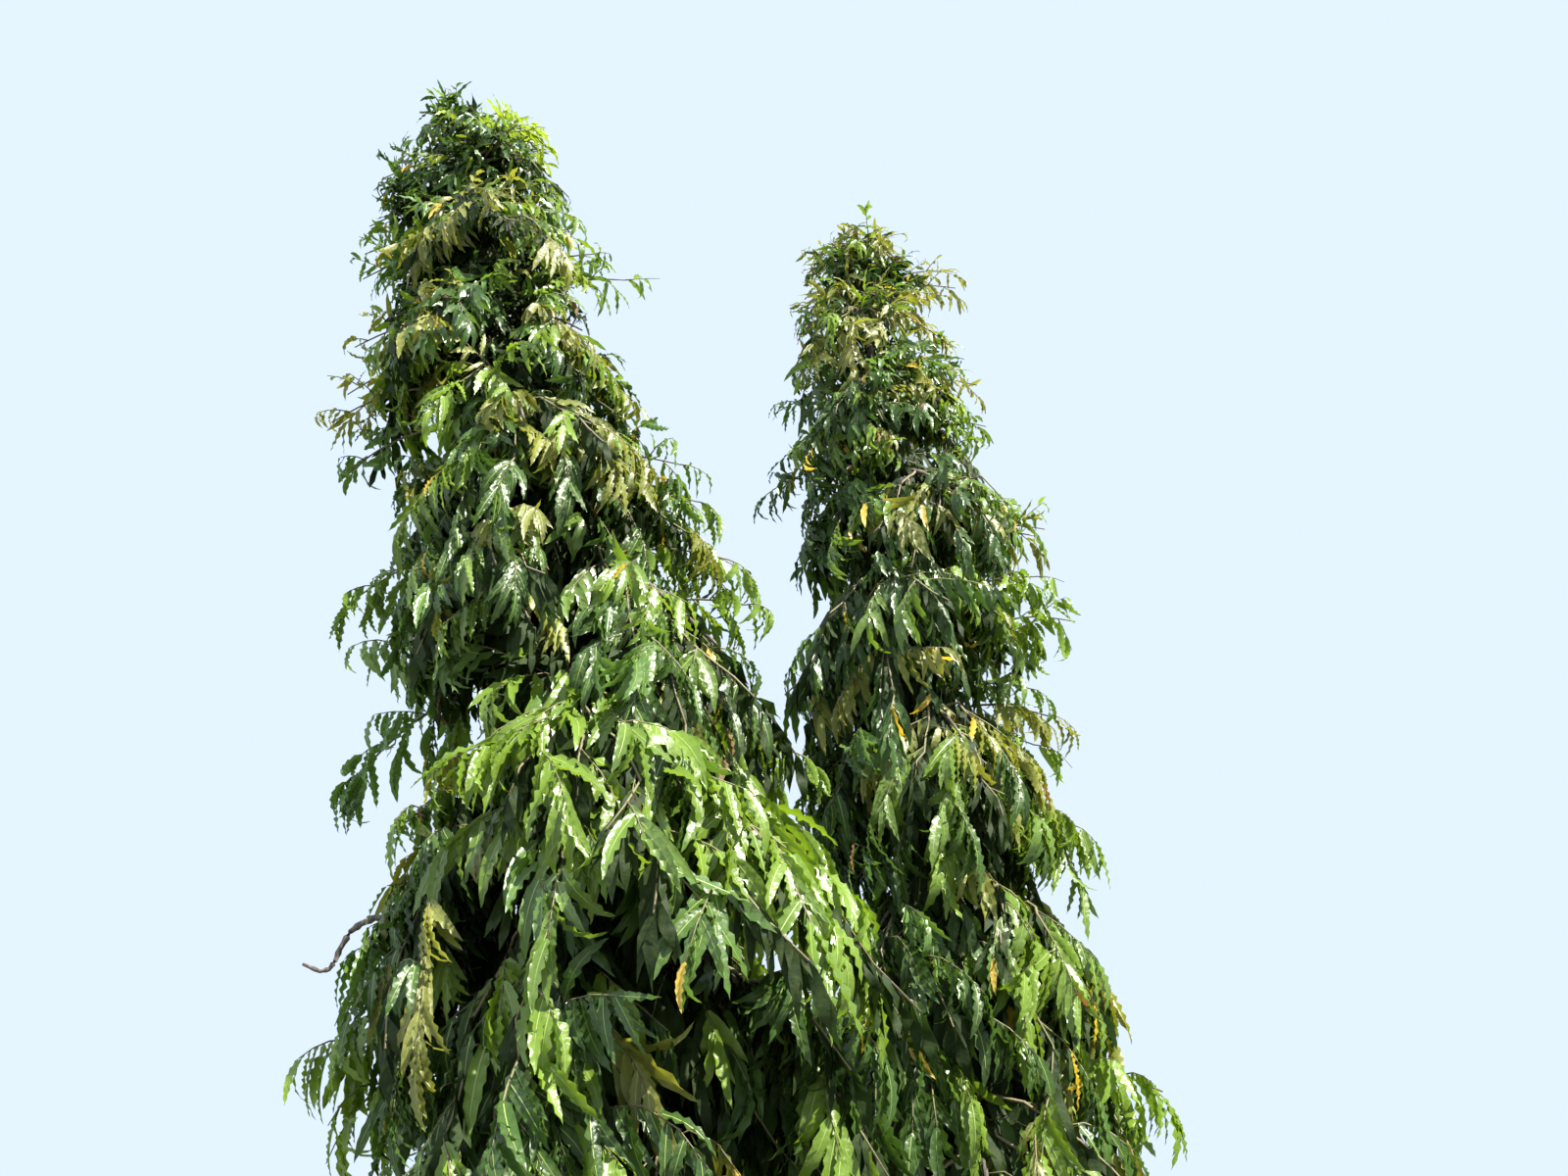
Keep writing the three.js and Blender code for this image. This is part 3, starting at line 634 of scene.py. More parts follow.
def lobe_growth(key, lobe, sizes, rng):
    """The branchlets and twigs of a lobe and the leaves on both."""
    stem, low = lobe["stem"], lobe["low"]
    paths = lobe_branchlets(lobe, sizes, rng)
    # The side that a lobe faces sets how much painted sunlight and painted shade its sprays get.
    chances = SHADE_CHANCES[habit(lobe, "shades", f"{key}_{side_of(lobe)}")]
    shade = rng.choice(len(chances), len(paths), p=chances)
    limp, large = habit(lobe, "limp", 1), habit(lobe, "leaves", 1)
    twigs, path = twigs_on(paths, limp, sizes, rng, stem)
    same = rng.random(len(path)) < SAME_SHADE
    shade = np.where(same, shade[path], rng.choice(len(chances), len(path), p=chances))
    # Twigs low in their tier take the deep green as painted shade under the tier above.
    level = (place_of(stem, twigs[:, 0])[0] - low) / (lobe["high"] - low)
    painted_foot_shade = (level < SHADED_FOOT["below"]) & (rng.random(len(path)) < SHADED_FOOT["share"])
    shade = np.where(painted_foot_shade, SHADES.index("deep"), shade)

    ends = TWIG_ENDS
    passing = rng.random(len(path)) < ends["passing"]
    limit = lobe["reach"] * np.where(passing, ends["furthest"], rng.uniform(*ends["most"], len(path)))
    too_high = twigs[..., 2].max(1) > stem["tip"] - ends["below_tip"]
    keep = (place_of(stem, twigs[:, -1])[2] < limit) & ~too_high
    twigs, shade, limit = twigs[keep], shade[keep], limit[keep]

    spacing = large * sizes.leaf_spacing * (0.7 + 0.4 * leaf_growth(low))
    outer = leaves_on(twigs, shade, 0.12, spacing, limp, rng, stem)
    # Leaves on the branchlets themselves are simple, so they wear the inner green, painted shade.
    inner_shade_tint = np.zeros(len(paths), int)
    inner = leaves_on(paths, inner_shade_tint, 0.03, 0.8 * sizes.leaf_spacing, 1, rng, stem)
    share_out = place_of(stem, outer["root"])[2] / lobe["reach"]
    coarse = (share_out < COARSE_WITHIN) | (lobe["tier"] < FINE_FROM_TIER[key])
    kind = rng.integers(0, len(LEAF_KINDS), len(share_out)) + len(LEAF_KINDS) * coarse
    outer["kind"] = np.where(share_out < SIMPLE_WITHIN, SIMPLE, kind)
    outer["size"] *= large
    dying = rng.random(len(kind)) < DYING_LEAVES[key] * habit(lobe, "dying", 1)
    outer["shade"] = np.where(dying, rng.choice(DYING_SHADES, len(dying)), outer["shade"])
    outer["size"] *= np.where(dying, DYING_SIZE, 1)
    outer["limit"] = limit[outer["path"]] + 0.03
    fallen = np.arange(len(inner["path"])) % 10 < 10 * stem["fallen"].get(lobe["tier"], 0)
    inner["limit"] = np.where(fallen, 0, 0.95 * lobe["reach"])
    inner["path"][:] = -1
    return paths, twigs, [outer, inner]


def curtain_growth(stem, sizes, rng):
    """Twigs that hang close round a stem and hide it, with their leaves."""
    count = CURTAIN["count"]
    z = rng.uniform(CURTAIN["lowest"], stem["tip"] - CURTAIN["below_tip"], count)
    turn = rng.uniform(-np.pi, np.pi, count)
    t = np.linspace(0, 1, CURTAIN["points"])
    r = CURTAIN["from_wood"] + rng.uniform(*CURTAIN["out"], count)[:, None] * t**0.6
    drop = rng.uniform(*CURTAIN["drop"], count)[:, None] * t**1.3
    twigs = beside_stem(stem, z[:, None] - drop, turn[:, None], r)
    leaves = leaves_on(twigs, np.zeros(count, int), 0.1, sizes.leaf_spacing, 1, rng, stem)
    low, high = stem["thin"]
    foot = twigs[leaves["path"], 0, 2]
    bare = (foot > low) & (foot < high) & (leaves["path"] % 4 > 0)
    leaves["limit"] = np.where(bare, 0, CURTAIN["reach"])
    return np.empty((0, BRANCHLET["points"], 3)), twigs, [leaves]


def sprig_growth(stem, sprig, sizes, rng):
    """A tuft that stands out of the crown: its branchlet, its twigs and their leaves."""
    turn, z, r, rise, shade = sprig
    t = np.linspace(0, 1, BRANCHLET["points"])
    radius = r - min(r, TUFT["length"]) * (1 - t)
    height = z - rise * (1 - t) + TUFT["arch"] * np.sin(np.pi * t)
    path = beside_stem(stem, height, math.radians(turn), radius)[None]
    twigs, _ = twigs_on(path, 1, sizes, rng, stem)
    base = twigs[:, :1]
    twigs = base + TUFT["twigs"] * (twigs - base)
    young = shade == "fresh"
    spacing = (0.6 if young else 0.8) * sizes.leaf_spacing
    tint = np.full(len(twigs), SHADES.index(shade))
    leaves = leaves_on(twigs, tint, 0.1, spacing, 1, rng, stem)
    count = len(leaves["path"])
    coarse = z > TUFT["coarse_above"]
    leaves["kind"] = rng.integers(0, len(LEAF_KINDS), count) + len(LEAF_KINDS) * coarse
    leaves["limit"] = np.full(count, r + TUFT["beyond"])
    leaves["tuft"][:] = True
    leaves["size"] *= 1.05 if young else 0.85
    return path, twigs, [leaves]


def dry_twig(stem):
    """The path of the dry twig, and its radius, which swells at each old bud."""
    steps = np.linspace(0, len(DRY_TWIG) - 1, 3 * len(DRY_TWIG) - 2)
    r, z = [np.interp(steps, range(len(DRY_TWIG)), column) for column in zip(*DRY_TWIG)]
    path = beside_stem(stem, z, math.radians(DRY_TWIG_TURN), r)
    buds = np.arange(len(path)) % 3 == 1
    return path, np.linspace(*DRY_TWIG_RADIUS, len(path)) * (1 + 0.35 * buds)


def grow(key, sizes):
    """The branchlets, twigs and leaves of a crown. A leaf that would stand out of its space is left out."""
    stem = STEMS[key]
    parts = []
    for number, lobe in enumerate(LOBES[key]):
        rng = np.random.default_rng((sizes.seed, key == "far", number))
        parts.append(lobe_growth(key, lobe, sizes, rng))
    parts.append(curtain_growth(stem, sizes, rng))
    parts += [sprig_growth(stem, sprig, sizes, rng) for sprig in SPRIGS[key]]

    # Leaves count the twigs that bear them through the whole crown. On a branchlet that count is -1.
    borne = 0
    for _, hanging, groups in parts:
        for group in groups:
            group["path"] = np.where(group["path"] < 0, -1, group["path"] + borne)
        borne += len(hanging)
    branchlets, twigs = (np.concatenate([part[i] for part in parts]) for i in (0, 1))
    groups = [group for part in parts for group in part[2]]
    leaves = {name: np.concatenate([group[name] for group in groups]) for name in groups[0]}

    tip = leaves["root"] + leaves["along"] * (leaves["size"] * sizes.leaf_length)[:, None]
    near_enough = place_of(stem, tip)[2] < leaves["limit"]
    fits = near_enough & within_box(tip) & (leaves["tuft"] | under_top(stem, tip))
    on_twig = leaves["path"] >= 0
    leafy = np.bincount(leaves["path"][fits & on_twig], minlength=borne) > 3
    fits &= ~on_twig | leafy[leaves["path"]]
    return branchlets, twigs[leafy], {name: value[fits] for name, value in leaves.items()}


def half_widths(stations, wide):
    """Half the width of a leaf along its length. wide is the largest of them."""
    return wide * stations**0.5 * (1 - stations) ** LEAF_TAPER / OUTLINE_PEAK


def leaf_midline(stations, curve, sway):
    """The middle of a leaf one unit long, which curves down by an angle that grows towards the tip."""
    angle = curve * stations**1.6
    step = np.diff(stations, prepend=0)
    along, down = np.cumsum(np.cos(angle) * step), np.cumsum(np.sin(angle) * step)
    return np.stack([sway * np.sin(np.pi * stations), along, -down], -1)


def simple_leaf(wide, wave):
    """A leaf of six faces, for inside the crown."""
    stations = np.array([0.14, 0.48, 0.82])
    half = half_widths(stations, wide)
    lift = 1.6 * wave * np.array([1, -1, 1])
    left = np.stack([-half, stations, lift - 0.2 * stations**2], -1)
    right = np.stack([half, stations, 0.3 * half - lift - 0.2 * stations**2], -1)
    points = np.concatenate([[(0, 0, 0)], left, right, [(0, 1, -0.2)]])
    return points, np.array([(0, 4, 1), (3, 6, 7), (1, 4, 5), (1, 5, 2), (2, 5, 6), (2, 6, 3)])


def leaf_shape(kind, sizes):
    """Points and faces of a leaf one unit long, from its stalk along y, with its upper face towards z, and
    those of its midrib. A simple leaf has no midrib."""
    wide = 0.5 * sizes.leaf_width / sizes.leaf_length
    wave = sizes.leaf_wave / sizes.leaf_length
    if kind == SIMPLE:
        return *simple_leaf(wide, wave), None, None
    curve, sway, bias, fold, in_turn = LEAF_KINDS[kind % len(LEAF_KINDS)]
    count = EDGE_STATIONS["fine" if kind < len(LEAF_KINDS) else "coarse"]
    stations = np.linspace(0.06, 0.93, count)
    middle = leaf_midline(np.append(stations, 1.0), curve, sway)
    half = half_widths(stations, wide)
    zigzag = np.where(np.arange(count) % 2 == 0, 1.0, -1.0)
    twist = bias * stations
    points = [(0.0, 0.0, 0.0)]
    for hand in (-1, 1):
        phase = zigzag * (hand if in_turn else 1)
        reach = half * (1 - 0.09 * phase)
        lift = fold * half + wave * phase * (half / wide) ** 0.6
        edge = middle[:-1].copy()
        edge[:, 0] += hand * reach * np.cos(twist) - lift * np.sin(twist)
        edge[:, 2] += lift * np.cos(twist) + hand * reach * np.sin(twist)
        points += list(edge)
    points += [*middle[0:count:2], middle[-1]]
    left, right, rib, pairs = 1, 1 + count, 1 + 2 * count, count // 2
    tip = rib + pairs + 1
    faces = [(0, rib, left), (0, right, rib)]
    faces += [(left + count - 1, tip - 1, tip), (tip - 1, right + count - 1, tip)]
    for k in range(pairs):
        a, b, m = left + 2 * k, right + 2 * k, rib + k
        faces += [(m, a + 1, a), (m, m + 1, a + 1), (m + 1, a + 2, a + 1)]
        faces += [(m, b, b + 1), (m, b + 1, m + 1), (m + 1, b + 1, b + 2)]
    strip = []
    for (x, y, z), half_rib in zip(middle[0:9:2], RIB_HALF_WIDTHS):
        strip += [(x - half_rib, y, z + RIB_LIFT), (x + half_rib, y, z + RIB_LIFT)]
    strip_faces = [(2 * i, 2 * i + 1, 2 * i + 3, 2 * i + 2) for i in range(len(RIB_HALF_WIDTHS) - 1)]
    return np.array(points), np.array(faces), np.array(strip), np.array(strip_faces)


def mesh_from(name, points, faces):
    """A smooth object at the origin. A face whose last two corners are alike is a triangle."""
    three = faces[:, 2] == faces[:, 3]
    sides = np.where(three, 3, 4)
    loops = faces[np.arange(4)[None, :] < sides[:, None]]
    mesh = bpy.data.meshes.new(name)
    mesh.vertices.add(len(points))
    mesh.vertices.foreach_set("co", points.astype(np.float32).ravel())
    mesh.loops.add(len(loops))
    mesh.loops.foreach_set("vertex_index", loops.astype(np.int32))
    mesh.polygons.add(len(faces))
    mesh.polygons.foreach_set("loop_start", (np.cumsum(sides) - sides).astype(np.int32))
    mesh.polygons.foreach_set("loop_total", sides.astype(np.int32))
    mesh.polygons.foreach_set("use_smooth", np.ones(len(faces), bool))
    mesh.update(calc_edges=True)
    piece = bpy.data.objects.new(name, mesh)
    bpy.context.scene.collection.objects.link(piece)
    return piece


def scattered(leaves, chosen, sizes, rib=False):
    """The points and faces of the chosen leaves, or of their midribs."""
    all_points, all_faces, total = [], [], 0
    for kind in range(len(LEAF_KINDS) if rib else SIMPLE + 1):
        pick = chosen & (leaves["kind"] == kind)
        if not pick.any():
            continue
        shape = leaf_shape(kind, sizes)
        points, faces = shape[2:] if rib else shape[:2]
        if not rib:
            faces = np.concatenate([faces, faces[:, 2:]], axis=1)
        along, face = leaves["along"][pick], leaves["face"][pick]
        scale = (leaves["size"][pick] * sizes.leaf_length)[:, None, None]
        axes = np.stack([np.cross(along, face), along, face], axis=1)
        moved = leaves["root"][pick][:, None] + (points @ axes) * scale
        faces = faces[None] + (np.arange(len(moved)) * len(points))[:, None, None]
        all_points.append(moved.reshape(-1, 3))
        all_faces.append(faces.reshape(-1, 4) + total)
        total += moved.shape[0] * moved.shape[1]
    return np.concatenate(all_points), np.concatenate(all_faces)


def tubes(paths, radii, sides):
    """Thin limbs round many paths at once. paths is (count, stations, 3), radii is (count, stations)."""
    count, stations, _ = paths.shape
    along = unit(np.gradient(paths, axis=1))
    steady = np.where(np.abs(along[..., 2:3]) > 0.9, [[[1.0, 0, 0]]], [[[0, 0, 1.0]]])
    across = unit(np.cross(steady, along))
    above = np.cross(along, across)
    angle = np.linspace(0, 2 * np.pi, sides, endpoint=False)
    ring = np.cos(angle)[:, None] * across[:, :, None] + np.sin(angle)[:, None] * above[:, :, None]
    points = paths[:, :, None] + ring * radii[:, :, None, None]
    i, s = np.meshgrid(np.arange(stations - 1), np.arange(sides), indexing="ij")
    a, b = i * sides + s, i * sides + (s + 1) % sides
    faces = np.stack([a, b, b + sides, a + sides], -1).reshape(-1, 4)
    start = list(range(sides))[::-1]
    end = [(stations - 1) * sides + s for s in range(sides)]
    caps = [(rim[0], rim[k], rim[k + 1], rim[k + 1]) for rim in (start, end) for k in range(1, sides - 1)]
    faces = np.concatenate([faces, np.array(caps)])
    faces = faces[None] + (np.arange(count) * stations * sides)[:, None, None]
    return points.reshape(-1, 3), faces.reshape(-1, 4)


class Signal:
    """A value in a material. Sums with it add the nodes that work them out."""

    def __init__(self, finish, socket):
        self.finish = finish
        self.socket = socket

    def sum_with(self, operation, first, second):
        return self.finish.node("Math", {"operation": operation}, {0: first, 1: second})

    def __add__(self, other):
        return self.sum_with("ADD", self, other)

    def __radd__(self, other):
        return self.sum_with("ADD", other, self)

    def __sub__(self, other):
        return self.sum_with("SUBTRACT", self, other)

    def __rsub__(self, other):
        return self.sum_with("SUBTRACT", other, self)

    def __mul__(self, other):
        return self.sum_with("MULTIPLY", self, other)

    def __rmul__(self, other):
        return self.sum_with("MULTIPLY", other, self)


class Finish:
    """A material and the one way in which its nodes are made."""

    def __init__(self, name):
        self.material = bpy.data.materials.new(name)
        self.material.use_nodes = True
        self.tree = self.material.node_tree
        self.tree.nodes.clear()

    def node(self, kind, settings, sockets, output=0):
        """Adds a node: its settings first, then the values or links of its sockets."""
        made = self.tree.nodes.new("ShaderNode" + kind)
        for name, value in settings.items():
            if name == "stops":
                for element, (position, grey) in zip(made.color_ramp.elements, value):
                    element.position = position
                    element.color = (grey, grey, grey, 1)
            else:
                setattr(made, name, value)
        for name, value in sockets.items():
            if isinstance(value, Signal):
                self.tree.links.new(value.socket, made.inputs[name])
            elif isinstance(value, tuple) and len(value) == 3 and made.inputs[name].type == "RGBA":
                made.inputs[name].default_value = (*value, 1)
            else:
                made.inputs[name].default_value = value
        return Signal(self, made.outputs[output])

    def place(self, scale=(1, 1, 1)):
        """Where a point lies on the piece, stretched by scale."""
        at = self.node("TexCoord", {}, {}, "Object")
        return self.node("Mapping", {"vector_type": "POINT"}, {"Vector": at, "Scale": scale})

    def noise(self, at, scale, detail, roughness=0.5):
        settings = {"noise_dimensions": "3D"}
        sockets = {"Vector": at, "Scale": scale, "Detail": detail, "Roughness": roughness}
        return self.node("TexNoise", settings, sockets, "Fac")

    def ramp(self, value, *stops):
        """A value made grey by two stops, each a position and how light it is there."""
        return self.node("ValToRGB", {"stops": stops}, {"Fac": value})

    def patches(self, at, scale, detail, start, end):
        """Noise drawn out to patches, from 0 where it is below start to 1 where it is above end."""
        return self.ramp(self.noise(at, scale, detail), (start, 0.0), (end, 1.0))

    def blend(self, factor, first, second):
        sockets = {0: factor, 6: first, 7: second}
        return self.node("Mix", {"data_type": "RGBA", "clamp_factor": True}, sockets, 2)

    def bump(self, height, distance, strength):
        return self.node("Bump", {}, {"Height": height, "Distance": distance, "Strength": strength})

    def surface(self, colour, roughness, more=None):
        """The usual shader, from its colour, its roughness and any more of its sockets."""
        sockets = {"Base Color": colour, "Roughness": roughness, **(more or {})}
        return self.node("BsdfPrincipled", {}, sockets)

    def show(self, shader):
        output = self.tree.nodes.new("ShaderNodeOutputMaterial")
        self.tree.links.new(shader.socket, output.inputs["Surface"])
        return self.material


def tinted(colour, amount):
    return tuple(min(max(c * amount, 0), 1) for c in colour)


def leaf_finish(shade, colour):
    """A glossy leaf, finely puckered. Its colour drifts from spray to spray, and light comes through it."""
    finish = Finish("leaf_" + shade)
    at = finish.place()
    drift = finish.patches(at, 3.5, 2.0, 0.3, 0.7)
    speck = finish.patches(at, 55.0, 3.0, 0.35, 0.75)
    ripple = finish.noise(at, 75.0, 1.0)
    base = finish.blend(drift, tinted(colour, 0.72), tinted(colour, 1.25))
    paler = tuple(0.6 * c + 0.4 * pale for c, pale in zip(colour, (0.16, 0.2, 0.03)))
    base = finish.blend(speck * 0.35, base, paler)
    dull = DULLNESS.get(shade, USUAL_DULLNESS)
    gloss = {"IOR": 1.45, "Specular IOR Level": GLOSS.get(shade, USUAL_GLOSS)}
    face = finish.surface(base, dull + 0.1 * speck, {**gloss, "Normal": finish.bump(ripple, 0.005, 0.36)})
    through = tuple(c * passed for c, passed in zip(colour, LIGHT_THROUGH_LEAF["colour"]))
    glow = finish.node("BsdfTranslucent", {}, {"Color": through})
    return finish.show(finish.node("MixShader", {}, {0: LIGHT_THROUGH_LEAF["share"], 1: face, 2: glow}))


def plain_finish(name, colour, scale, spread, roughness):
    """A finish whose colour drifts from place to place by the spread, darker and paler."""
    finish = Finish(name)
    drift = finish.noise(finish.place(), scale, 2.0)
    base = finish.blend(drift, tinted(colour, 1 - spread), tinted(colour, 1 + spread))
    return finish.show(finish.surface(base, roughness))


def twig_finish(colour):
    """Thin young wood, from green-brown to pale brown, with corky spots."""
    finish = Finish("twig")
    at = finish.place()
    drift = finish.patches(at, 2.6, 2.0, 0.35, 0.65)
    spots = finish.patches(at, 190.0, 2.0, 0.55, 0.7)
    base = finish.blend(drift, (0.12, 0.12, 0.045), colour)
    base = finish.blend(spots * 0.6, base, tinted(colour, 1.9))
    relief = finish.bump(spots, 0.0006, 0.6)
    return finish.show(finish.surface(base, 0.68 + 0.15 * spots, {"Normal": relief}))


def bark_finish(bark, crack):
    """Grey-brown bark, darkened further as painted shade: fine cracks along the stem, pale and green
    patches, and rows of corky spots.
    """
    finish = Finish("bark")
    at = finish.place()
    along = finish.place((1.0, 1.0, 0.12))
    level = finish.place((1.0, 1.0, 3.0))
    fine = finish.noise(along, 120.0, 5.0, 0.62)
    coarse = finish.noise(along, 34.0, 4.0, 0.6)
    cracks = finish.ramp(fine * 0.55 + coarse * 0.45, (0.42, 1.0), (0.52, 0.0))
    weathered = finish.patches(at, 7.0, 3.0, 0.42, 0.62)
    moss = finish.patches(at, 3.1, 4.0, 0.56, 0.72)
    spots = finish.patches(level, 75.0, 2.0, 0.62, 0.7)
    base = finish.blend(weathered, tinted(bark, 0.8), tinted(bark, 1.35))
    base = finish.blend(moss * 0.45, base, (0.1, 0.12, 0.055))
    base = finish.blend(cracks * 0.75, base, crack)
    base = finish.blend(spots * 0.5, base, tinted(bark, 1.7))
    relief = finish.bump(0.6 * coarse + 0.4 * fine - 0.5 * cracks + 0.25 * spots, 0.004, 0.7)
    return finish.show(finish.surface(base, 0.82 + 0.1 * cracks, {"Normal": relief}))


FINISHES = {}


def finish_named(name):
    """The material of that name, made the first time that a piece asks for it."""
    if name not in FINISHES:
        colours = bpy.context.scene.mast_tree_colours
        colour = tuple(getattr(colours, name))
        if name in DRIFTING:
            FINISHES[name] = plain_finish(name, colour, *DRIFTING[name])
        elif name == "twig":
            FINISHES[name] = twig_finish(colour)
        elif name == "bark":
            FINISHES[name] = bark_finish(colour, tuple(colours.crack))
        else:
            FINISHES[name] = leaf_finish(name, colour)
    return FINISHES[name]


def give_wood(piece, finish="bark", node=None):
    """Makes a piece wood: its material, the solid that it stands for, if any and its body."""
    piece.data.materials.append(finish_named(finish))
    if node:
        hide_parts(node)
    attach(piece, "root")


def start_modelling():
    if bpy.context.object and bpy.context.object.mode != "OBJECT":
        bpy.ops.object.mode_set(mode="OBJECT")
    bpy.ops.object.select_all(action="DESELECT")


def drawn_out(name, centres, radii, sides, facing=(0, 0, 1)):
    """A limb: a round face at right angles to facing, drawn out from centre to centre."""
    start_modelling()
    centres = [tuple(centre) for centre in centres]
    radii = [float(radius) for radius in radii]
    turn = Vector((0, 0, 1)).rotation_difference(Vector(facing)).to_euler()
    bpy.ops.mesh.primitive_circle_add(
        vertices=sides, radius=radii[0], fill_type="NGON", location=centres[0], rotation=turn
    )
    limb = bpy.context.object
    limb.name = name
    bpy.ops.object.mode_set(mode="EDIT")
    bpy.ops.mesh.select_all(action="SELECT")
    for k in range(1, len(centres)):
        step = Vector(centres[k]) - Vector(centres[k - 1])
        bpy.ops.mesh.extrude_region_move(TRANSFORM_OT_translate={"value": step})
        scale = radii[k] / radii[k - 1]
        bpy.ops.transform.resize(value=(scale, scale, scale), center_override=centres[k])
    bpy.ops.mesh.select_all(action="SELECT")
    bpy.ops.mesh.normals_make_consistent(inside=False)
    bpy.ops.object.mode_set(mode="OBJECT")
    bpy.ops.object.transform_apply(location=True, rotation=True, scale=True)
    return limb


def finish_shape(piece, modifiers):
    """Adds modifiers with their settings to a piece and applies each."""
    bpy.ops.object.select_all(action="DESELECT")
    piece.select_set(True)
    bpy.context.view_layer.objects.active = piece
    for kind, settings in modifiers.items():
        modifier = piece.modifiers.new(kind.title(), kind)
        for name, value in settings.items():
            setattr(modifier, name, value)
        bpy.ops.object.modifier_apply(modifier=modifier.name)
    piece.data.polygons.foreach_set("use_smooth", np.ones(len(piece.data.polygons), bool))
    piece.data.update()


def corners_of(piece):
    points = np.empty(len(piece.data.vertices) * 3, np.float32)
    piece.data.vertices.foreach_get("co", points)
    return points.reshape(-1, 3).astype(float)


def move_corners(piece, points):
    piece.data.vertices.foreach_set("co", points.astype(np.float32).ravel())
    piece.data.update()


def ridges(angle, z, seed):
    """A height from -1 to 1 for bark: ridges that run along the stem, drift round it and break off."""
    drift = 0.5 * np.sin(1.7 * z + seed) + 0.25 * np.sin(5.3 * z + 2 * seed)
    broad = np.sin(7 * (angle + drift) + 1.3 * np.sin(2.1 * z))
    fine = np.sin(17 * (angle + 0.6 * drift) + 2.2 * np.sin(6.0 * z + seed))
    breaks = np.sin(23 * z + 3 * np.sin(3 * angle + seed))
    return 0.45 * broad + 0.4 * fine + 0.15 * breaks


def give_relief(piece, centre_of, amount, seed):
    """Moves each corner of a limb out or in by the ridges of its bark, which are lower on thin limbs."""
    points = corners_of(piece)
    away = points - centre_of(points)
    away[:, 2] = 0
    distance = np.linalg.norm(away, axis=1)
    angle = np.arctan2(away[:, 1], away[:, 0])
    depth = amount * np.clip(distance / 0.06, 0.25, 1.0) * ridges(angle, points[:, 2], seed)
    move_corners(piece, points + unit(away) * depth[:, None])


def trunk_radius(z, angle):
    """The trunk's radius at a height and in a direction: round and flared below, oval at the fork."""
    flare = FLARE["width"] * np.exp(-z / FLARE["height"])
    ridged = flare * (1 + FLARE["ridge"] * np.cos(FLARE["ridges"] * (-np.pi / 2 - angle)))
    towards = angle - math.atan2(FORK_DIRECTION.y, FORK_DIRECTION.x)
    oval = 1 / np.hypot(np.cos(towards) / TRUNK_OVAL["along"], np.sin(towards) / TRUNK_OVAL["across"])
    start = TRUNK_OVAL["from"]
    share = np.clip((z / FORK_HEIGHT - start) / (1 - start), 0, 1)
    share = share * share * (3 - 2 * share)
    return TRUNK_RADIUS + (oval - TRUNK_RADIUS) * share + ridged


def trunk_middle(points):
    """The middle of the trunk below the fork, and of the nearer stem above it."""
    middles = [stem_centre(stem, points[:, 2]) for stem in STEMS.values()]
    apart = [np.linalg.norm(points - middle, axis=1) for middle in middles]
    nearer = np.where((apart[0] < apart[1])[:, None], middles[0], middles[1])
    axis = points * (0, 0, 1)
    return axis + (nearer - axis) * np.clip((points[:, 2] - 0.6) / 0.3, 0, 1)[:, None]


class MASTTREE_OT_stage(bpy.types.Operator):
    """Make the floor, the light and the camera"""

    bl_idname = "masttree.stage"
    bl_label = "Stage"

    def execute(self, context):
        start_modelling()
        bpy.ops.mesh.primitive_plane_add(size=FLOOR_SIZE, location=(0, 0, 0))
        floor = context.object
        floor.name = "floor"
        floor.data.materials.append(finish_named("floor"))

        world = bpy.data.worlds.new("soft_light")
        world.use_nodes = True
        sky = world.node_tree.nodes["Background"].inputs
        sky["Color"].default_value = SKY["colour"]
        sky["Strength"].default_value = SKY["strength"]
        context.scene.world = world
        for name, (turn, strength, softness, colour) in SUNS.items():
            light = bpy.data.lights.new(name, "SUN")
            light.energy = strength
            light.angle = math.radians(softness)
            light.color = colour
            lamp = bpy.data.objects.new(name, light)
            lamp.rotation_euler = [math.radians(a) for a in turn]
            context.scene.collection.objects.link(lamp)
        self.camera(context)
        context.scene.view_settings.view_transform = "Standard"
        return {"FINISHED"}

    def camera(self, context):
        pitch, roll = math.radians(CAMERA["pitch"]), math.radians(CAMERA["roll"])
        right = Vector((1, 0, 0))
        above = Vector((0, -math.sin(pitch), math.cos(pitch)))
        ahead = Vector((0, math.cos(pitch), math.sin(pitch)))
        leaned_right = right * math.cos(roll) - above * math.sin(roll)
        leaned_above = right * math.sin(roll) + above * math.cos(roll)
        pose = Matrix((leaned_right, leaned_above, -ahead)).transposed().to_4x4()
        pose.translation = Vector(CAMERA["place"])
        lens = bpy.data.cameras.new("camera")
        lens.sensor_width = SENSOR_WIDTH
        lens.lens = SENSOR_WIDTH * CAMERA["focal_px"] / FRAME_WIDTH_PX
        camera = bpy.data.objects.new("camera", lens)
        camera.matrix_world = pose
        context.scene.collection.objects.link(camera)
        context.scene.camera = camera


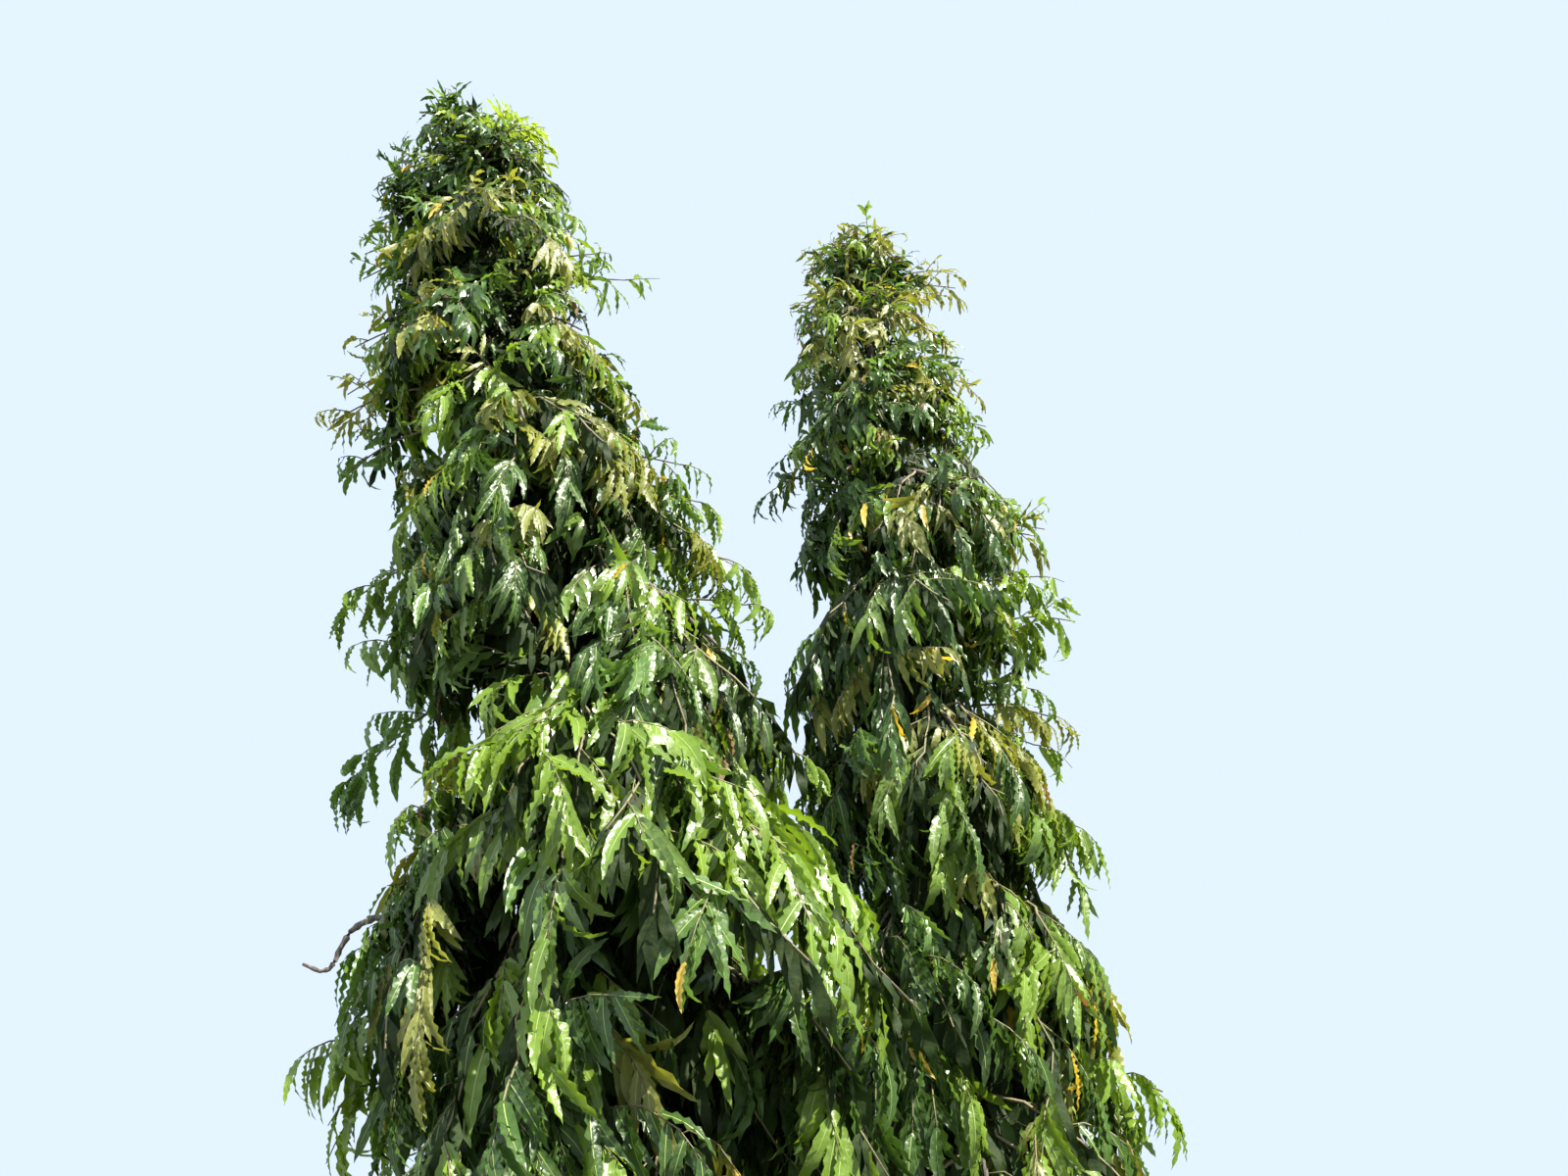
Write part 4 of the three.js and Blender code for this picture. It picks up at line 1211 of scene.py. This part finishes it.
class MASTTREE_OT_trunk(bpy.types.Operator):
    """Model the trunk with its root flare and the crotch where the two stems leave it"""

    bl_idname = "masttree.trunk"
    bl_label = "Trunk"

    def execute(self, context):
        trunk = drawn_out("trunk_bark", [(0, 0, z) for z in TRUNK_HEIGHTS], [0.2] * len(TRUNK_HEIGHTS), 40)
        points = corners_of(trunk)
        angle = np.arctan2(points[:, 1], points[:, 0])
        rim = np.hypot(points[:, 0], points[:, 1]) > 0.01
        radius = trunk_radius(points[:, 2], angle)
        points[rim, 0] = (radius * np.cos(angle))[rim]
        points[rim, 1] = (radius * np.sin(angle))[rim]
        move_corners(trunk, points)

        z = np.linspace(ARM["foot"], ARM["top"], 9)
        arms = []
        for key, stem in STEMS.items():
            arms.append(drawn_out(f"{key}_arm", stem_centre(stem, z), stem_radius(stem, z), 24))
        bpy.ops.object.select_all(action="DESELECT")
        for piece in (trunk, *arms):
            piece.select_set(True)
        context.view_layer.objects.active = trunk
        bpy.ops.object.join()
        remesh = {"mode": "VOXEL", "voxel_size": 0.01}
        finish_shape(trunk, {"REMESH": remesh, "SMOOTH": {"factor": 0.5, "iterations": 8}})

        # The foot stays flat on the ground.
        points = corners_of(trunk)
        points[points[:, 2] < 0.006, 2] = 0
        move_corners(trunk, points)
        give_relief(trunk, trunk_middle, context.scene.mast_tree_sizes.bark_relief, 1.0)
        give_wood(trunk, node="trunk")
        return {"FINISHED"}


class MASTTREE_OT_stems(bpy.types.Operator):
    """Model the two stems, from inside the trunk's arms to their tips"""

    bl_idname = "masttree.stems"
    bl_label = "Stems"

    def execute(self, context):
        relief = context.scene.mast_tree_sizes.bark_relief
        for number, (key, stem) in enumerate(STEMS.items()):
            z = np.linspace(ARM["top"] - ARM["overlap"], tier_top(stem, 1), 26)
            radii = stem_radius(stem, z) * (1 + 0.03 * np.sin(9 * z + number))
            piece = drawn_out(f"{key}_stem_bark", stem_centre(stem, z), radii, 12)
            finish_shape(piece, {"SUBSURF": {"levels": 2, "render_levels": 2}})
            give_relief(piece, lambda p, stem=stem: stem_centre(stem, p[:, 2]), relief, 3.0 + number)
            give_wood(piece, node=f"{key}_stem")
        return {"FINISHED"}


class MASTTREE_OT_boughs(bpy.types.Operator):
    """Model the bough of each long lobe, and the thinner branch of every other lobe"""

    bl_idname = "masttree.boughs"
    bl_label = "Boughs"

    def execute(self, context):
        relief = 0.6 * context.scene.mast_tree_sizes.bark_relief
        lobes = [lobe for key in LOBES for lobe in LOBES[key]]
        for number, lobe in enumerate(filter(has_bough, lobes)):
            r = np.linspace(0.02, BOUGH["end"] * lobe["reach"], BOUGH["stations"])
            centres = bough_line(lobe, r)
            facing = Vector(centres[-1]) - Vector(centres[0])
            name = lobe["node"].replace("foliage", "bough")
            piece = drawn_out(name + "_bark", centres, bough_radius(lobe, r), 12, facing)
            finish_shape(piece, {"SUBSURF": {"levels": 1, "render_levels": 1}})
            give_relief(piece, lambda p, line=centres: self.nearest(p, line), relief, number)
            give_wood(piece, node=name)
        branches = [self.branch(lobe) for lobe in lobes if not has_bough(lobe)]
        paths, radii = (np.array(column) for column in zip(*branches))
        give_wood(mesh_from("branches", *tubes(paths, radii, 8)))
        return {"FINISHED"}

    def nearest(self, points, line):
        gaps = np.linalg.norm(points[:, None] - line[None], axis=2)
        return line[np.argmin(gaps, axis=1)]

    def branch(self, lobe):
        """The line and the radii of a lobe's thin branch. In the tuft at a tip it carries the stem on."""
        count = BOUGH["stations"]
        if lobe["whole"]:
            z = np.linspace(lobe["low"] - 0.03, lobe["high"] - 0.16, count)
            return stem_centre(lobe["stem"], z), np.linspace(STEM_RADIUS["tip"], 0.003, count)
        r = np.linspace(0.0, BOUGH["end"] * lobe["reach"], count)
        return bough_line(lobe, r), bough_radius(lobe, r) * BRANCH_THICKNESS


class MASTTREE_OT_twigs(bpy.types.Operator):
    """Grow the twigs of both crowns"""

    bl_idname = "masttree.twigs"
    bl_label = "Twigs"

    def execute(self, context):
        sizes = context.scene.mast_tree_sizes
        for key in STEMS:
            branchlets, twigs, _ = grow(key, sizes)
            for name, paths, thick, thin, sides in (
                ("branchlets", branchlets, 1.7, 0.8, 4),
                ("twigs", twigs[:, ::2], 0.8, 0.4, 3),
            ):
                taper = np.linspace(thick * sizes.twig_radius, thin * sizes.twig_radius, paths.shape[1])
                limbs = tubes(paths, np.tile(taper, (len(paths), 1)), sides)
                give_wood(mesh_from(f"{key}_{name}", *limbs), "twig")
        path, radii = dry_twig(STEMS["near"])
        give_wood(mesh_from("dry_twig", *tubes(path[None], radii[None], 6)))
        return {"FINISHED"}


class MASTTREE_OT_leaves(bpy.types.Operator):
    """Grow the leaves of both crowns, a piece for each shade, and their midribs"""

    bl_idname = "masttree.leaves"
    bl_label = "Leaves"

    def execute(self, context):
        sizes = context.scene.mast_tree_sizes
        for key in STEMS:
            _, _, leaves = grow(key, sizes)
            nodes = [lobe["node"] for lobe in LOBES[key]]
            simple = leaves["kind"] == SIMPLE
            parts = {shade: ~simple & (leaves["shade"] == number) for number, shade in enumerate(SHADES)}
            # Every simple leaf, whatever its shade, goes to the piece with the inner green, painted shade.
            parts["inner"] = simple
            for name, chosen in parts.items():
                if not chosen.any():
                    continue
                piece = mesh_from(f"{key}_leaves_{name}", *scattered(leaves, chosen, sizes))
                piece.data.materials.append(finish_named(name))
                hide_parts(*nodes)
                name in SLOT_OF_SHADE
                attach(piece, "root")
            ribbed = (leaves["shade"] < SHADES.index("golden")) & (leaves["kind"] < len(LEAF_KINDS))
            piece = mesh_from(f"{key}_midribs", *scattered(leaves, ribbed, sizes, rib=True))
            piece.data.materials.append(finish_named("midrib"))
            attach(piece, "root")
        return {"FINISHED"}


STEPS = (
    MASTTREE_OT_stage, MASTTREE_OT_trunk, MASTTREE_OT_stems, MASTTREE_OT_boughs, MASTTREE_OT_twigs,
    MASTTREE_OT_leaves,
)


class MASTTREE_PT_panel(bpy.types.Panel):
    """Lists the tree's pieces and sizes"""

    bl_label = "Mast tree"
    bl_idname = "MASTTREE_PT_panel"
    bl_space_type = "VIEW_3D"
    bl_region_type = "UI"
    bl_category = "Mast tree"

    def draw(self, context):
        for step in STEPS:
            self.layout.operator(step.bl_idname)
        for group in (context.scene.mast_tree_sizes, context.scene.mast_tree_colours):
            for name in group.bl_rna.properties.keys():
                if name not in ("rna_type", "name"):
                    self.layout.prop(group, name)


CLASSES = (Sizes, Colours, *STEPS, MASTTREE_PT_panel)


def register():
    for cls in CLASSES:
        bpy.utils.register_class(cls)
    bpy.types.Scene.mast_tree_sizes = PointerProperty(type=Sizes)
    bpy.types.Scene.mast_tree_colours = PointerProperty(type=Colours)


def unregister():
    del bpy.types.Scene.mast_tree_colours
    del bpy.types.Scene.mast_tree_sizes
    for cls in reversed(CLASSES):
        bpy.utils.unregister_class(cls)


def main():
    """Builds every piece in order."""
    register()
    for step in (
        bpy.ops.masttree.stage,
        bpy.ops.masttree.trunk,
        bpy.ops.masttree.stems,
        bpy.ops.masttree.boughs,
        bpy.ops.masttree.twigs,
        bpy.ops.masttree.leaves,
    ):
        step()


if __name__ == "__main__":
    main()
